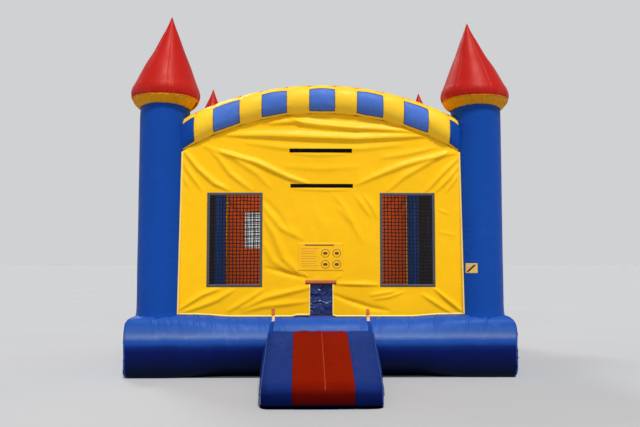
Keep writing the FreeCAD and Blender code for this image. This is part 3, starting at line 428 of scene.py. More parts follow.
BLUE = srgb(42, 88, 178)
BLUE_LIGHT = srgb(88, 124, 200)
YELLOW = srgb(252, 196, 26)
RED = srgb(204, 44, 38)
W1 = (1, 1, 1, 1)
TB, TY, TR = (0.50, 0.66, 1.0, 1), (1.0, 0.86, 0.42, 1), (1.0, 0.45, 0.38, 1)
M = {
    # base blue: painted shade darkens the tube's face below its bulge to near black at the ground, and a painted
    # highlight band brightens the shoulder near z 0.475
    "base_blue": coated_cloth("base blue vinyl", srgb(35, 80, 164), 0.42, 0.0, 0.06, srgb(72, 112, 194), 1.0,
                              painted_light_bands=[(0.02, (0.02, 0.02, 0.03, 1)), (0.11, (0.04, 0.035, 0.07, 1)), (0.22, (0.035, 0.045, 0.15, 1)), (0.31, (0.05, 0.075, 0.24, 1)),
                                     (0.355, (0.14, 0.20, 0.40, 1)), (0.405, (0.8, 0.85, 0.9, 1)), (0.43, W1), (0.475, (7.2, 2.4, 1.2, 1)), (0.53, (2.6, 1.42, 1.05, 1)), (0.62, W1)],
                              spec=0.14, tint=TB),
    "tower_blue": coated_cloth("tower blue vinyl", srgb(19, 69, 155), 0.46, 0.0, 0.05, srgb(36, 82, 166), 0.6, soil=0, spec=0.09, tint=TB),
    "tab_blue": coated_cloth("tab blue vinyl", srgb(18, 58, 140), 0.5, 0.0, 0.08, srgb(52, 92, 172), 1.0, soil=0, spec=0.15, tint=TB),
    "arch_blue": coated_cloth("arch blue vinyl", srgb(74, 112, 196), 0.45, 0.0, 0.14, srgb(116, 142, 208), 1.0, soil=0, tint=TB),
    # ramp blue: painted shade darkens the ramp's front low down, and a painted highlight lifts its upper part from z
    # 0.56
    "ramp_blue": coated_cloth("ramp blue vinyl", srgb(23, 48, 114), 0.6, 0.0, 0.08, srgb(44, 74, 148), 1.2,
                              painted_light_bands=[(0.02, (0.10, 0.08, 0.16, 1)), (0.12, (0.30, 0.25, 0.40, 1)), (0.24, W1), (0.45, W1), (0.56, (1.6, 1.4, 1.3, 1))], spec=0.03, tint=TB),
    "floor_blue": coated_cloth("floor blue vinyl", srgb(40, 78, 164), 0.46, 0.0, 0.08, srgb(74, 106, 180), 1.0, soil=0, tint=TB),
    "wall_yellow": coated_cloth("wall yellow vinyl", srgb(250, 190, 12), 0.40, 0.0, 0.05, srgb(255, 208, 44), 0.8, soil=0, spec=0.30, tint=TY),
    "arch_yellow": coated_cloth("arch yellow vinyl", srgb(253, 200, 48), 0.42, 0.0, 0.06, srgb(255, 214, 90), 0.8, soil=0, tint=TY),
    "collar_yellow": coated_cloth("collar yellow vinyl", srgb(216, 146, 8), 0.46, 0.0, 0.10, srgb(236, 170, 36), 1.0, soil=0, tint=TY),
    # orange-brown inside of the walls: painted shade and backlight, the yellow vinyl as it looks from inside
    "inner_face_shade": coated_cloth("inner face painted shade vinyl", srgb(214, 92, 28), 0.5, 0.0, 0.08, None, 1.0, soil=0, tint=TR),
    "roof_yellow": coated_cloth("roof yellow vinyl", srgb(250, 200, 48), 0.42, 0.0, 0.07, srgb(255, 216, 90), 1.2, soil=0, tint=TY),
    "hem_yellow": stitched("pale yellow hem", srgb(255, 222, 110), srgb(250, 236, 190), (0.3, 0.7), 0.01, 0.45),
    "cone_red": coated_cloth("cone red vinyl", srgb(178, 28, 22), 0.42, 0.0, 0.06, srgb(192, 48, 40), 0.7, soil=0, spec=0.22, tint=TR),
    # tread red: painted shade darkens it towards the ground on the ramp's front
    "tread_red": coated_cloth("tread red vinyl", srgb(124, 18, 2), 0.6, 0.0, 0.07, srgb(136, 30, 12), 1.2,
                              painted_light_bands=[(0.02, (0.16, 0.10, 0.30, 1)), (0.12, (0.40, 0.30, 0.60, 1)), (0.24, W1), (0.5, W1)], spec=0.03, tint=TR),
    # flap navy: its strong pale colour is a painted highlight, light streaks on the crumpled flaps
    "flap_blue": coated_cloth("flap navy vinyl", srgb(33, 48, 104), 0.24, 0.2, 0.16, srgb(92, 112, 172), 2.0, soil=0, spec=0.35, tint=TB),
    "ground": coated_cloth("ground sheet vinyl", srgb(62, 66, 72), 0.6, 0.0, 0.1, None, 1.0),
    "web": fibrous("baffle web cloth", srgb(190, 190, 184), 0.8, 300),
    "seam_blue": stitched("blue seam tape", srgb(34, 78, 168), srgb(22, 50, 120), (0.3, 0.7), 0.009, 0.45),
    "seam_red": stitched("red seam tape", srgb(150, 42, 22), srgb(170, 70, 44), (0.3, 0.7), 0.009, 0.6),
    "seam_yellow": stitched("yellow seam tape", srgb(248, 198, 52), srgb(220, 160, 30), (0.3, 0.7), 0.009, 0.45),
    "patch_edge": stitched("arch patch edging", srgb(30, 48, 110), srgb(200, 190, 150), (0.5,), 0.009, 0.5),
    "binding": stitched("grey window binding", srgb(62, 64, 72), srgb(104, 106, 114), (0.2, 0.8), 0.009, 0.62),
    "net": fibrous("black netting twine", srgb(24, 22, 24), 0.8, 900, 0.0006),
    "hook": fibrous("hook and loop tape", srgb(10, 7, 9), 0.95, 520, 0.0012, 0.1),
    "orange": stitched("orange webbing", srgb(204, 108, 30), srgb(236, 170, 90), (0.15, 0.85), 0.008, 0.6, ribbed=1.0),
    "strap_end": stitched("pale strap end", srgb(222, 180, 160), srgb(200, 120, 80), (0.15, 0.85), 0.008, 0.6, ribbed=0.6),
    # dark red under the entrance header: a painted shadow
    "header_shadow_red": fibrous("painted shadow dark red", srgb(96, 24, 10), 0.7, 400),
    "print_base": coated_cloth("printed panel", srgb(249, 187, 24), 0.42, 0.0, 0.06, srgb(253, 200, 54), 0.6, soil=0, spec=0.30, tint=TY),
    "print_dark": moulded("dark print", srgb(84, 40, 14), 0.6, 600, 0.0001),
    "print_faint": moulded("faint print", srgb(206, 134, 36), 0.6, 600, 0.0001),
    "tag": coated_cloth("small column tag", srgb(222, 184, 96), 0.5, 0.0, 0.06, None, 0.5, soil=0),
    "web_black": stitched("black webbing", srgb(22, 22, 24), srgb(70, 70, 74), (0.15, 0.85), 0.008, 0.7, ribbed=1.0),
    "steel": moulded("zinc plated steel", srgb(188, 190, 194), 0.32, 500, 0.0003, srgb(140, 136, 128), metal=1.0),
    "zip_tape": fibrous("zip tape", srgb(34, 36, 42), 0.8, 500, 0.0008),
    "zip_metal": moulded("zip slider metal", srgb(150, 150, 152), 0.35, 600, 0.0003, srgb(90, 88, 84), metal=1.0),
    "blower": moulded("blower housing plastic", srgb(226, 148, 36), 0.45, 420, 0.0005, srgb(190, 118, 30)),
    "impeller": moulded("impeller plastic", srgb(44, 44, 46), 0.5, 420, 0.0004),
    "motor": moulded("motor paint", srgb(52, 54, 58), 0.5, 380, 0.0005, srgb(92, 92, 94)),
    "switch": moulded("switch plastic", srgb(186, 24, 20), 0.35, 500, 0.0003, srgb(150, 20, 16)),
}


def finish_piece(obj, material, body="castle", nodes=()):
    obj.data.materials.clear()
    obj.data.materials.append(M[material])
    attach(obj, body)
    if nodes:
        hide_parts(*([nodes] if isinstance(nodes, str) else nodes))
    return obj


# ---------------------------------------------------------------- base tubes
ZC, ZH, RC, RH = 0.36, 0.352, 1.925, 0.36
TURN = {"front": 0.0, "right": PI / 2, "rear": PI, "left": 3 * PI / 2}
# short upright creases over the top of the front tube: place, width, depth
TOP_CREASES = [(-1.96, .03, .006), (-1.80, .022, .007), (-1.63, .026, .006), (-1.47, .02, .007), (-1.31, .03, .005),
               (-1.06, .03, .004), (-0.72, .02, .006), (-0.60, .018, .008), (-0.50, .02, .007), (0.50, .018, .007),
               (0.60, .02, .008), (0.71, .025, .005), (1.02, .03, .004), (1.36, .03, .004), (1.72, .025, .005), (1.93, .03, .006)]


def tube_exponents(s):
    w = smooth(0.50, 0.86, np.abs(s))
    return w, 2.38 + 3.0 * w, 2.35 + 6.0 * w


def tube(side, s, phi, lift=0.0):
    """Point on a base tube: s share of its length, phi angle round it, 0 outwards, up at 90 degrees."""
    s, phi = np.broadcast_arrays(np.asarray(s, float), np.asarray(phi, float))
    w, n_up, n_low = tube_exponents(s)
    c, sn = np.cos(phi), np.sin(phi)
    n = np.where((c >= 0) & (sn >= 0), n_up, np.where(c >= 0, n_low, np.where(sn >= 0, 3.2, 4.5)))
    r = (np.abs(c / RH) ** n + np.abs(sn / ZH) ** n) ** (-1 / n)
    seed = {"front": 1, "right": 2, "rear": 3, "left": 4}[side]
    run = s * (RC + r * c)
    arc = phi * 0.36
    mitre = (1 - np.abs(s)) * 2.1
    d = 0.0045 * fbm(run / 0.65, arc / 0.9, 0, seed, 2)
    # gathers beside the mitre seams
    d = d + 0.009 * np.exp(-mitre / 0.075) * (ridge(arc / 0.085, run / 0.8, 0, seed + 5) - 0.35)
    d = d - 0.010 * np.exp(-((mitre / 0.02) ** 2))
    # creases over the outer top, where the top and face panels are sewn
    top = smooth(0.30, 0.62, phi) * (1 - smooth(1.15, 1.45, phi))
    if side == "front":
        lean = 0.05 * (phi - 0.9)
        for x0, wd, dp in TOP_CREASES:
            t = (run - x0 - 1.6 * lean * (1 if x0 > 0 else -1)) / (wd * 0.7)
            d = d + (2.3 if abs(x0) > 1.2 else 1.5) * dp * top * (np.exp(-t * t) - 0.9 * np.exp(-((t - 1.5) ** 2)))
    else:
        d = d + 0.007 * top * (ridge(run / 0.17, arc / 1.4, 0, seed + 9) - 0.3) * (0.4 + 0.6 * np.abs(noise(run / 0.7, 0, 0, seed)))
    d = d + 0.0018 * fbm(run / 0.12, arc / 0.12, 0, seed + 31, 2)
    # keep it quiet where the zip is sewn on
    if side == "rear":
        d = d * (1 - 0.9 * smooth(-1.65, -1.5, run) * (1 - smooth(-0.86, -0.7, run)) * (np.abs(phi) < 0.5))
    seam = np.exp(-(((phi - 0.98) * 0.36 / 0.007) ** 2))
    d = d - 0.0025 * seam + lift
    r = r + d
    rho = RC + r * c
    z = ZC + r * np.where(sn < 0, sn * 1.10, sn)
    z = np.maximum(z, 0.0105)
    x, y = s * rho, -rho
    a = TURN[side]
    return np.stack([x * math.cos(a) - y * math.sin(a), x * math.sin(a) + y * math.cos(a), z], -1)


def tube_top_at(x, rho):
    """Height of a tube's top x along it and rho out from the middle."""
    _, n, _ = tube_exponents(np.asarray(x) / rho)
    return ZC + ZH * (1 - np.abs((rho - RC) / RH) ** n) ** (1 / n)


tubes = {}
for side in ("front", "right", "rear", "left"):
    s = np.concatenate([np.linspace(-1, -0.93, 22)[:-1], np.linspace(-0.93, 0.93, 300)[:-1], np.linspace(0.93, 1, 22)])
    phi = np.linspace(-PI, PI, 132, endpoint=False)
    S_, F_ = np.meshgrid(s, phi, indexing="ij")
    o = loops_body("inflated_base_" + side, tube(side, S_, F_))
    tubes[side] = finish_piece(o, "base_blue", nodes=side + "_base_tube")

# seam tapes over the top seam of each tube and along the mitres
tapes = []
for side in TURN:
    tapes.append(surface_patch("t", lambda u, v, side=side: tube(side, u, 0.98 + (v - 0.5) * 0.05),
                               np.linspace(-0.995, 0.995, 420), np.linspace(0, 1, 3), 0.0004, 0.0016, (2.15, 1)))
    tapes.append(surface_patch("t", lambda u, v, side=side: tube(side, 1 - v * 0.0065, -1.1 + u / 0.42),
                               np.linspace(0.0, 1.12, 90), np.linspace(0, 1, 3), 0.0006, 0.0022, (1, 1)))
    tapes.append(surface_patch("t", lambda u, v, side=side: tube(side, -1 + v * 0.0065, -1.1 + u / 0.42),
                               np.linspace(0.0, 1.12, 90), np.linspace(1, 0, 3), 0.0006, 0.0022, (1, 1), flip=True))
base_tapes = finish_piece(join("base_seam_tapes", tapes), "seam_blue")

# ground sheet
g = steps([-2.238, 2.238], 0.05)
X, Y = np.meshgrid(g, g, indexing="ij")
Z = 0.0015 + 0.0010 * (1 + noise(X / 0.35, Y / 0.35, 0, 60))
P = np.stack([X, Y, Z], -1)
N = np.zeros_like(P); N[..., 2] = 1
ground = finish_piece(sheet_solid("ground_cloth", P, N, 0.0022), "ground", nodes="ground_sheet")


# -------------------------------------------------------------- bounce floor
def floor_z(x, y):
    k = np.clip(np.round(x / 0.347), -4, 4)
    d = x - k * 0.347
    edge = 1.563 - np.abs(y)
    crown = 0.238 + np.sqrt(np.maximum(0.28 ** 2 - d * d, 0.0))
    rim = np.minimum(1.563 - np.abs(x), edge)
    z = crown - 0.010 * np.exp(-np.maximum(rim, 0) / 0.05)
    valley = np.exp(-(((np.abs(d) - 0.1735) / 0.05) ** 2))
    z = z + 0.010 * valley * (ridge(y / 0.09, x * 3, 0, 71) - 0.4)
    z = z - 0.06 * np.exp(-np.maximum(edge, 0) / 0.035) + 0.003 * fbm(x / 0.2, y / 0.3, 0, 72, 2)
    return z


fx = steps([-1.562] + [0.347 * (k + 0.5) for k in range(-4, 4)] + [1.562], 0.02)
fy = steps([-1.562, -1.45, 1.45, 1.562], 0.03)
X, Y = np.meshgrid(fx, fy, indexing="ij")
top = np.stack([X, Y, floor_z(X, Y)], -1)
nu, nv = X.shape
low = top.copy(); low[..., 2] = 0.012
verts = np.vstack([top.reshape(-1, 3), low.reshape(-1, 3)])
ft = grid_faces(nu, nv)
e = np.concatenate([ft[:, [0, 1]], ft[:, [1, 2]], ft[:, [2, 3]], ft[:, [3, 0]]])
key = np.sort(e, 1); key = key[:, 0].astype(np.int64) * nu * nv + key[:, 1]
_, first, count = np.unique(key, return_index=True, return_counts=True)
rim = e[first[count == 1]]
n0 = nu * nv
fr = np.stack([rim[:, 1], rim[:, 0], rim[:, 0] + n0, rim[:, 1] + n0], 1)
rim_ids = np.unique(rim)
bottom = ft[:, ::-1] + n0
o = make("bounce_bed", verts, np.concatenate([ft, bottom, fr]))
bed = finish_piece(o, "floor_blue", nodes="bounce_floor")
webs = []
for k in range(-4, 4):
    x0 = 0.347 * (k + 0.5)
    U, V = np.meshgrid(steps([-1.533, 1.533], 0.06), steps([0.02, 0.43], 0.04), indexing="ij")
    P = np.stack([x0 + 0.002 * noise(U / 0.1, V / 0.1, 0, 80 + k), U, V], -1)
    N = np.zeros_like(P); N[..., 0] = 1
    webs.append(sheet_solid("w", P, N, 0.0012))
webs = finish_piece(join("floor_web_cloth", webs), "web", nodes="floor_baffles")

# ------------------------------------------------------------------- towers
TOWERS = [("front_left", -1, -1, 1.056, .061, .012), ("front_right", 1, -1, 1.000, .083, .012),
          ("rear_left", -1, 1, 1.092, .061, .012), ("rear_right", 1, 1, 1.034, .083, .012)]
CONE = np.array([(0.0, 1.000, 0.0), (0.035, 1.035, 0.0), (0.074, 1.046, 0.03), (0.125, 1.018, 0.07), (0.174, 0.957, 0.12),
                 (0.410, 0.684, 0.36), (0.576, 0.471, 0.62), (0.742, 0.289, 0.82), (0.912, 0.095, 0.97), (0.994, 0.020, 1.0)])


def spline(x, y, q):
    """Monotone cubic through the points."""
    x, y, q = map(lambda v: np.asarray(v, float), (x, y, q))
    h = np.diff(x); s = np.diff(y) / h
    m = np.zeros(len(x))
    m[1:-1] = np.where(s[:-1] * s[1:] > 0, 2 * s[:-1] * s[1:] / (s[:-1] + s[1:] + 1e-12), 0)
    m[0], m[-1] = s[0], s[-1]
    k = np.clip(np.searchsorted(x, q) - 1, 0, len(x) - 2)
    t = (q - x[k]) / h[k]
    return ((2 * t ** 3 - 3 * t ** 2 + 1) * y[k] + (t ** 3 - 2 * t ** 2 + t) * h[k] * m[k]
            + (-2 * t ** 3 + 3 * t ** 2) * y[k + 1] + (t ** 3 - t ** 2) * h[k] * m[k + 1])


RCOL = 0.303


def column(tower, z, th):
    name, sx, sy, high, lx, ly = tower
    seed = 100 + 7 * TOWERS.index(tower)
    cx, cy = sx * 1.91, sy * 1.91
    z, th = np.broadcast_arrays(np.asarray(z, float), np.asarray(th, float))
    r = RCOL + 0 * z
    fx, fy = np.abs(cx + RCOL * np.cos(th)), np.abs(cy + RCOL * np.sin(th))
    foot = tube_top_at(np.minimum(fx, fy), np.maximum(fx, fy))
    r = r + 0.010 * np.exp(-np.maximum(z - foot, 0) / 0.030) - 0.006 * np.exp(-np.maximum(3.19 - z, 0) / 0.03)
    r = r + 0.0028 * fbm(np.cos(th) * 0.9, np.sin(th) * 0.9, z / 0.9, seed, 2)
    # gathers at foot and at the collar seam
    r = r + 0.0025 * np.exp(-np.maximum(z - 0.70, 0) / 0.07) * (ridge(th * 3.4, z, 0, seed + 1) - 0.3)
    r = r + 0.005 * np.exp(-np.maximum(3.19 - z, 0) / 0.05) * (ridge(th * 5.2, z, 0, seed + 2) - 0.3)
    # short level creases beside the two upright seams, where the walls are sewn on
    for ang in (math.atan2(-sy * -0.185, -sx * 0.238), math.atan2(-sy * 0.30, -sx * 0.14)):
        da = (th - ang + PI) % (2 * PI) - PI
        near = np.exp(-np.abs(da) * RCOL / 0.07)
        near = np.exp(-np.abs(da) * RCOL / 0.11)
        r = r + 0.0085 * near * (ridge(z / 0.060 + 0.25 * da, da * 1.1, 0, seed + 3) - 0.25) * (0.25 + 0.75 * smooth(-0.35, 0.4, noise(z / 0.5, 0, 0, seed + 4)))
        r = r - 0.003 * np.exp(-((da * RCOL / 0.006) ** 2))
    return np.stack([cx + r * np.cos(th), cy + r * np.sin(th), z], -1)


def cone(tower, share, th):
    name, sx, sy, high, lx, ly = tower
    seed = 300 + 7 * TOWERS.index(tower)
    share, th = np.broadcast_arrays(np.asarray(share, float), np.asarray(th, float))
    r = 0.395 * spline(CONE[:, 0], CONE[:, 1], share)
    bend = spline(CONE[:, 0], CONE[:, 2], share)
    low = np.exp(-np.maximum(share, 0) / 0.055) * smooth(0.0, 0.012, share)
    r = r + 0.013 * low * (1.2 * ridge(th * 7.5, share * 3, 0, seed) + 1.0 * ridge(th * 13, share * 3, 0, seed + 6) - 0.7)
    # six sewn gores, drawn in a little along their seams
    g = np.abs(((th / (2 * PI) * 6 + 0.27) % 1) - 0.5) * 2
    r = r - 0.0035 * smooth(0.93, 1.0, g) * np.minimum(1, r / 0.2)
    r = r + 0.005 * smooth(0.93, 0.80, g) * 0 + 0.0035 * np.minimum(1, r / 0.25) * (1 - g) * 0.8
    r = r + 0.004 * np.minimum(1, r / 0.2) * fbm(np.cos(th) * 0.9, np.sin(th) * 0.9, share * 2.2, seed + 3, 2)
    r = np.maximum(r, 0.004)
    z = 3.307 + share * high
    return np.stack([sx * 1.91 - sx * lx * bend + r * np.cos(th), sy * 1.91 - sy * ly * bend + r * np.sin(th), z], -1)


def collar(tower, v, th):
    name, sx, sy, high, lx, ly = tower
    seed = 500 + 7 * TOWERS.index(tower)
    v, th = np.broadcast_arrays(np.asarray(v, float), np.asarray(th, float))
    r = 0.3045 + (0.394 - 0.3045) * (v ** 0.85)
    pleat = 1.3 * ridge(th * 7.5, v * 0.4, 0, seed) + 0.9 * ridge(th * 15.0, v * 0.6, 0, seed + 9) - 0.6
    r = r + 0.014 * pleat * np.sin(PI * np.clip(v, 0.02, 0.98)) ** 0.5 + 0.008 * np.sin(PI * v)
    low = 3.192 + 0.032 * np.abs(np.sin(th)) ** 1.5
    z = low + (3.3075 - low) * v + 0.003 * pleat * (1 - v)
    return np.stack([sx * 1.91 + r * np.cos(th), sy * 1.91 + r * np.sin(th), z], -1)


for tower in TOWERS:
    name = tower[0]
    th = np.linspace(0, 2 * PI, 150, endpoint=False)
    zz = np.concatenate([np.linspace(0.470, 0.80, 36)[:-1], np.linspace(0.80, 3.08, 240)[:-1], np.linspace(3.08, 3.232, 18)])
    Zg, Tg = np.meshgrid(zz, th, indexing="ij")
    o = finish_piece(loops_body("tower_" + name, column(tower, Zg, Tg)), "tower_blue", nodes=name + "_column")
    sh = np.concatenate([np.linspace(0, 0.12, 22)[:-1], np.linspace(0.12, 0.97, 60)[:-1], np.linspace(0.97, 0.999, 5)])
    th2 = np.linspace(0, 2 * PI, 320, endpoint=False)
    Sg, Tg = np.meshgrid(sh, th2, indexing="ij")
    o = finish_piece(loops_body("roof_cone_" + name, cone(tower, Sg, Tg)), "cone_red", nodes=name + "_cone")
    th3 = np.linspace(0, 2 * PI, 400)
    Vg, Tg = np.meshgrid(np.linspace(0, 1, 12), th3, indexing="ij")
    P = collar(tower, Vg, Tg)
    N = np.stack([np.cos(Tg), np.sin(Tg), -0.6 + 0 * Tg], -1)
    N /= np.linalg.norm(N, axis=-1, keepdims=True)
    uv = np.stack([Tg * 0.35, Vg], -1)
    o = sheet_solid("collar_skirt_" + name, P, N, 0.0025, -0.0025, None, uv)
    finish_piece(o, "collar_yellow", nodes=name + "_collar")
    # piping in the seam between collar and cone, and upright seam tapes
    tp = []
    tp.append(surface_patch("p", lambda u, v, t=tower: cone(t, 0.001 + v * 0.008, u), np.linspace(0, 2 * PI, 200), np.linspace(0, 1, 3), 0.0, 0.002, (0.395, 1)))
    finish_piece(join("cone_seams_" + name, tp), "collar_yellow")
    tp = [surface_patch("p", lambda u, v, t=tower, a=a: column(t, u, a + (v - 0.5) * 0.04),
                        np.linspace(0.74, 3.18, 160), np.linspace(1, 0, 3), 0.0003, 0.0014, (1, 1), flip=True)
          for a in (math.atan2(tower[2] * 0.12, tower[1] * 0.99), math.atan2(-tower[2] * 0.75, -tower[1] * 0.66))]
    finish_piece(join("tower_seams_" + name, tp), "seam_blue")

# -------------------------------------------------------------- arch beams
AR, AH, AD, AY, AZ = 3.390, 0.176, 0.150, 2.05, -0.100
PANELS = [(-1.690, -1.516), (-1.292, -0.975), (-0.714, -0.412), (-0.145, 0.164), (0.426, 0.742), (0.989, 1.284), (1.541, 1.690)]
EDGES = np.array([e for p in PANELS for e in p])


def arch(sign, x, psi, lift=0.0):
    """Point on an arch beam: x across on the centre line's own ray, psi round its section, 0 outwards, up at 90."""
    x, psi = np.broadcast_arrays(np.asarray(x, float), np.asarray(psi, float))
    seed = 40 if sign < 0 else 50
    # x is the true sideways place of the point, so panel edges stand upright
    d = np.min(np.abs(x[..., None] * (1 if sign < 0 else -1) - EDGES), -1)
    pinch = -0.0055 * np.exp(-((d / 0.014) ** 2)) + 0.0045 * smooth(0.0, 0.12, d)
    pinch = pinch + 0.006 * np.exp(-d / 0.045) * (ridge(psi * 2.1, x * 1.2, 0, seed) - 0.3) * (np.cos(psi) > -0.3)
    pinch = pinch + 0.003 * fbm(x / 0.22, psi * 0.8, 0, seed + 2, 2)
    inner = np.exp(-(((psi + 1.2) / 0.4) ** 2))
    pinch = pinch + 0.005 * inner * (ridge(x / 0.085, 0, 0, seed + 3) - 0.3)
    ax = np.abs(x)
    ends = smooth(1.46, 1.74, ax)
    hh = AH + pinch - 0.020 * smooth(1.60, 1.80, ax) + lift
    dd = (AD + pinch) * (1 - 0.80 * ends ** 1.15) + lift
    rho = AR + hh * np.sin(psi)
    y = sign * (AY + dd * np.cos(psi))
    z = AZ + np.sqrt(rho ** 2 - x ** 2)
    return np.stack([x, y, z], -1)


def arch_radial(sign, x, rho, lift=0.0):
    q = np.clip((rho - AR) / AH, -0.985, 0.985)
    return arch(sign, x, np.arcsin(q), lift)


for side, sign in (("front", -1), ("rear", 1)):
    xs = np.linspace(-1.76, 1.76, 420)
    ps = np.linspace(-PI, PI, 84, endpoint=False)
    Xg, Pg = np.meshgrid(xs, ps, indexing="ij")
    beam = finish_piece(loops_body("arch_tube_" + side, arch(sign, Xg, Pg)), "arch_yellow", nodes=side + "_arch_beam")
    cover, edging, ends_ = [], [], []
    for x0, x1 in PANELS:
        a, b = (x0, x1) if sign < 0 else (-x1, -x0)
        uu = steps([a, b], 0.012)
        vv = np.linspace(AR - 0.146, AR + 0.116, 26)
        S = lambda u, v: arch_radial(sign, u, v)
        (ends_ if max(abs(a), abs(b)) > 1.6 else cover).append(surface_patch("c", S, uu, vv, 0.0006, 0.0022, flip=sign > 0))
        wdt = 0.009
        r0, r1 = AR - 0.146, AR + 0.116
        for (ua, ub, va, vb) in ((a, b, r0, r0 + wdt), (a, b, r1 - wdt, r1), (a, a + wdt, r0, r1), (b - wdt, b, r0, r1)):
            U = steps([ua, ub], 0.012); V = steps([va, vb], 0.012)
            if ub - ua > vb - va:
                T = lambda u, v, va=va, vb=vb: arch_radial(sign, u, va + (vb - va) * v)
                p_ = surface_patch("e", T, U, np.linspace(0, 1, 3), 0.0024, 0.0012, (1, 1), flip=sign > 0)
            else:
                T = lambda u, v, ua=ua, ub=ub: arch_radial(sign, ua + (ub - ua) * v, u)
                p_ = surface_patch("e", T, V, np.linspace(1, 0, 3), 0.0024, 0.0012, (1, 1), flip=sign < 0)
            edging.append(p_)
    patches = finish_piece(join("arch_blue_patches_" + side, cover), "arch_blue", nodes=side + "_arch_blue_panels")
    # the end patches take the darker tower blue instead of the arch blue: painted shade on the ends that face sideways
    shaded_end_patches = finish_piece(join("arch_end_patches_" + side, ends_), "tower_blue")
    trims = finish_piece(join("arch_patch_edging_" + side, edging), "patch_edge")


# -------------------------------------------------------- side beams and roof
def side_beam(sx, y, th):
    y, th = np.broadcast_arrays(np.asarray(y, float), np.asarray(th, float))
    r = 0.147 + 0.0025 * fbm(y / 0.35, np.cos(th), np.sin(th), 90 + sx, 2)
    r = r + 0.005 * np.exp(-np.maximum(1.63 - np.abs(y), 0) / 0.05) * (ridge(th * 2.2, y, 0, 93) - 0.3)
    low = np.exp(-(((th + PI / 2 + PI) % (2 * PI) - PI) / 0.35) ** 2)
    r = r + 0.0045 * low * (ridge(y / 0.08, 0, 0, 95 + sx) - 0.3)
    return np.stack([sx * 1.765 + r * np.cos(th), y, 2.8246 + r * np.sin(th)], -1)


for side, sx in (("left", -1), ("right", 1)):
    Yg, Tg = np.meshgrid(np.linspace(-1.83, 1.83, 260), np.linspace(0, 2 * PI, 64, endpoint=False), indexing="ij")
    o = finish_piece(loops_body("side_rail_" + side, side_beam(sx, Yg, Tg)), "arch_yellow", nodes=side + "_top_beam")

ROOF_R = 3.5672


def roof_limit(x):
    half = np.sqrt(np.maximum(0.3085 ** 2 - (np.abs(x) - 1.91) ** 2, 0))
    return np.where(np.abs(x) > 1.6015, np.minimum(2.05, 1.91 - half), 2.05)


def roof(x, v):
    """x across, v -1 at the front edge to 1 at the rear edge."""
    x, v = np.broadcast_arrays(np.asarray(x, float), np.asarray(v, float))
    y = v * roof_limit(x)
    free = smooth(2.02, 1.80, np.abs(y)) * smooth(1.80, 1.55, np.abs(x))
    sag = 0.040 * free * np.clip(np.cos(y / 2.05 * PI / 2), 0, 1) ** 0.8
    d = -sag + 0.010 * free * (ridge(x / 0.33 + 0.5 * noise(y / 1.1, 0, 0, 97), y / 2.4, 0, 98) - 0.35)
    d = d + 0.006 * free * fbm(x / 0.30, y / 0.45, 0, 99, 3)
    edge = np.exp(-np.maximum(1.95 - np.abs(y), 0) / 0.14) * smooth(2.03, 1.93, np.abs(y))
    d = d + 0.006 * edge * (ridge(x / 0.12, y / 0.8, 0, 101) - 0.3)
    r = ROOF_R + 0.0035 + d
    z = AZ + np.sqrt(np.maximum(r * r - x * x, 0))
    return np.stack([x, y, z], -1)


rx = steps([-1.835, -1.6025, -1.6005, 1.6005, 1.6025, 1.835], 0.02)
rv = np.linspace(-1, 1, 206)
Xg, Vg = np.meshgrid(rx, rv, indexing="ij")
P = roof(Xg, Vg)
N = np.stack([Xg / ROOF_R, 0 * Xg, np.sqrt(1 - (Xg / ROOF_R) ** 2)], -1)
roof_piece = finish_piece(sheet_solid("roof_canopy", P, N, 0.003, -0.001), "roof_yellow", nodes="roof_cover")
rh = []
for sg in (-1, 1):
    U, V = np.meshgrid(steps([-1.59, 1.59], 0.02), np.linspace(0, 1, 4), indexing="ij")
    P = roof(U, sg * (1.004 - V * 0.0145))
    N = np.stack([U / ROOF_R, 0 * U, np.sqrt(1 - (U / ROOF_R) ** 2)], -1)
    rh.append(sheet_solid("h", P, N, 0.0022, 0.0022, None, np.stack([U, V], -1)))
roof_hem = finish_piece(join("roof_hems", rh), "hem_yellow")

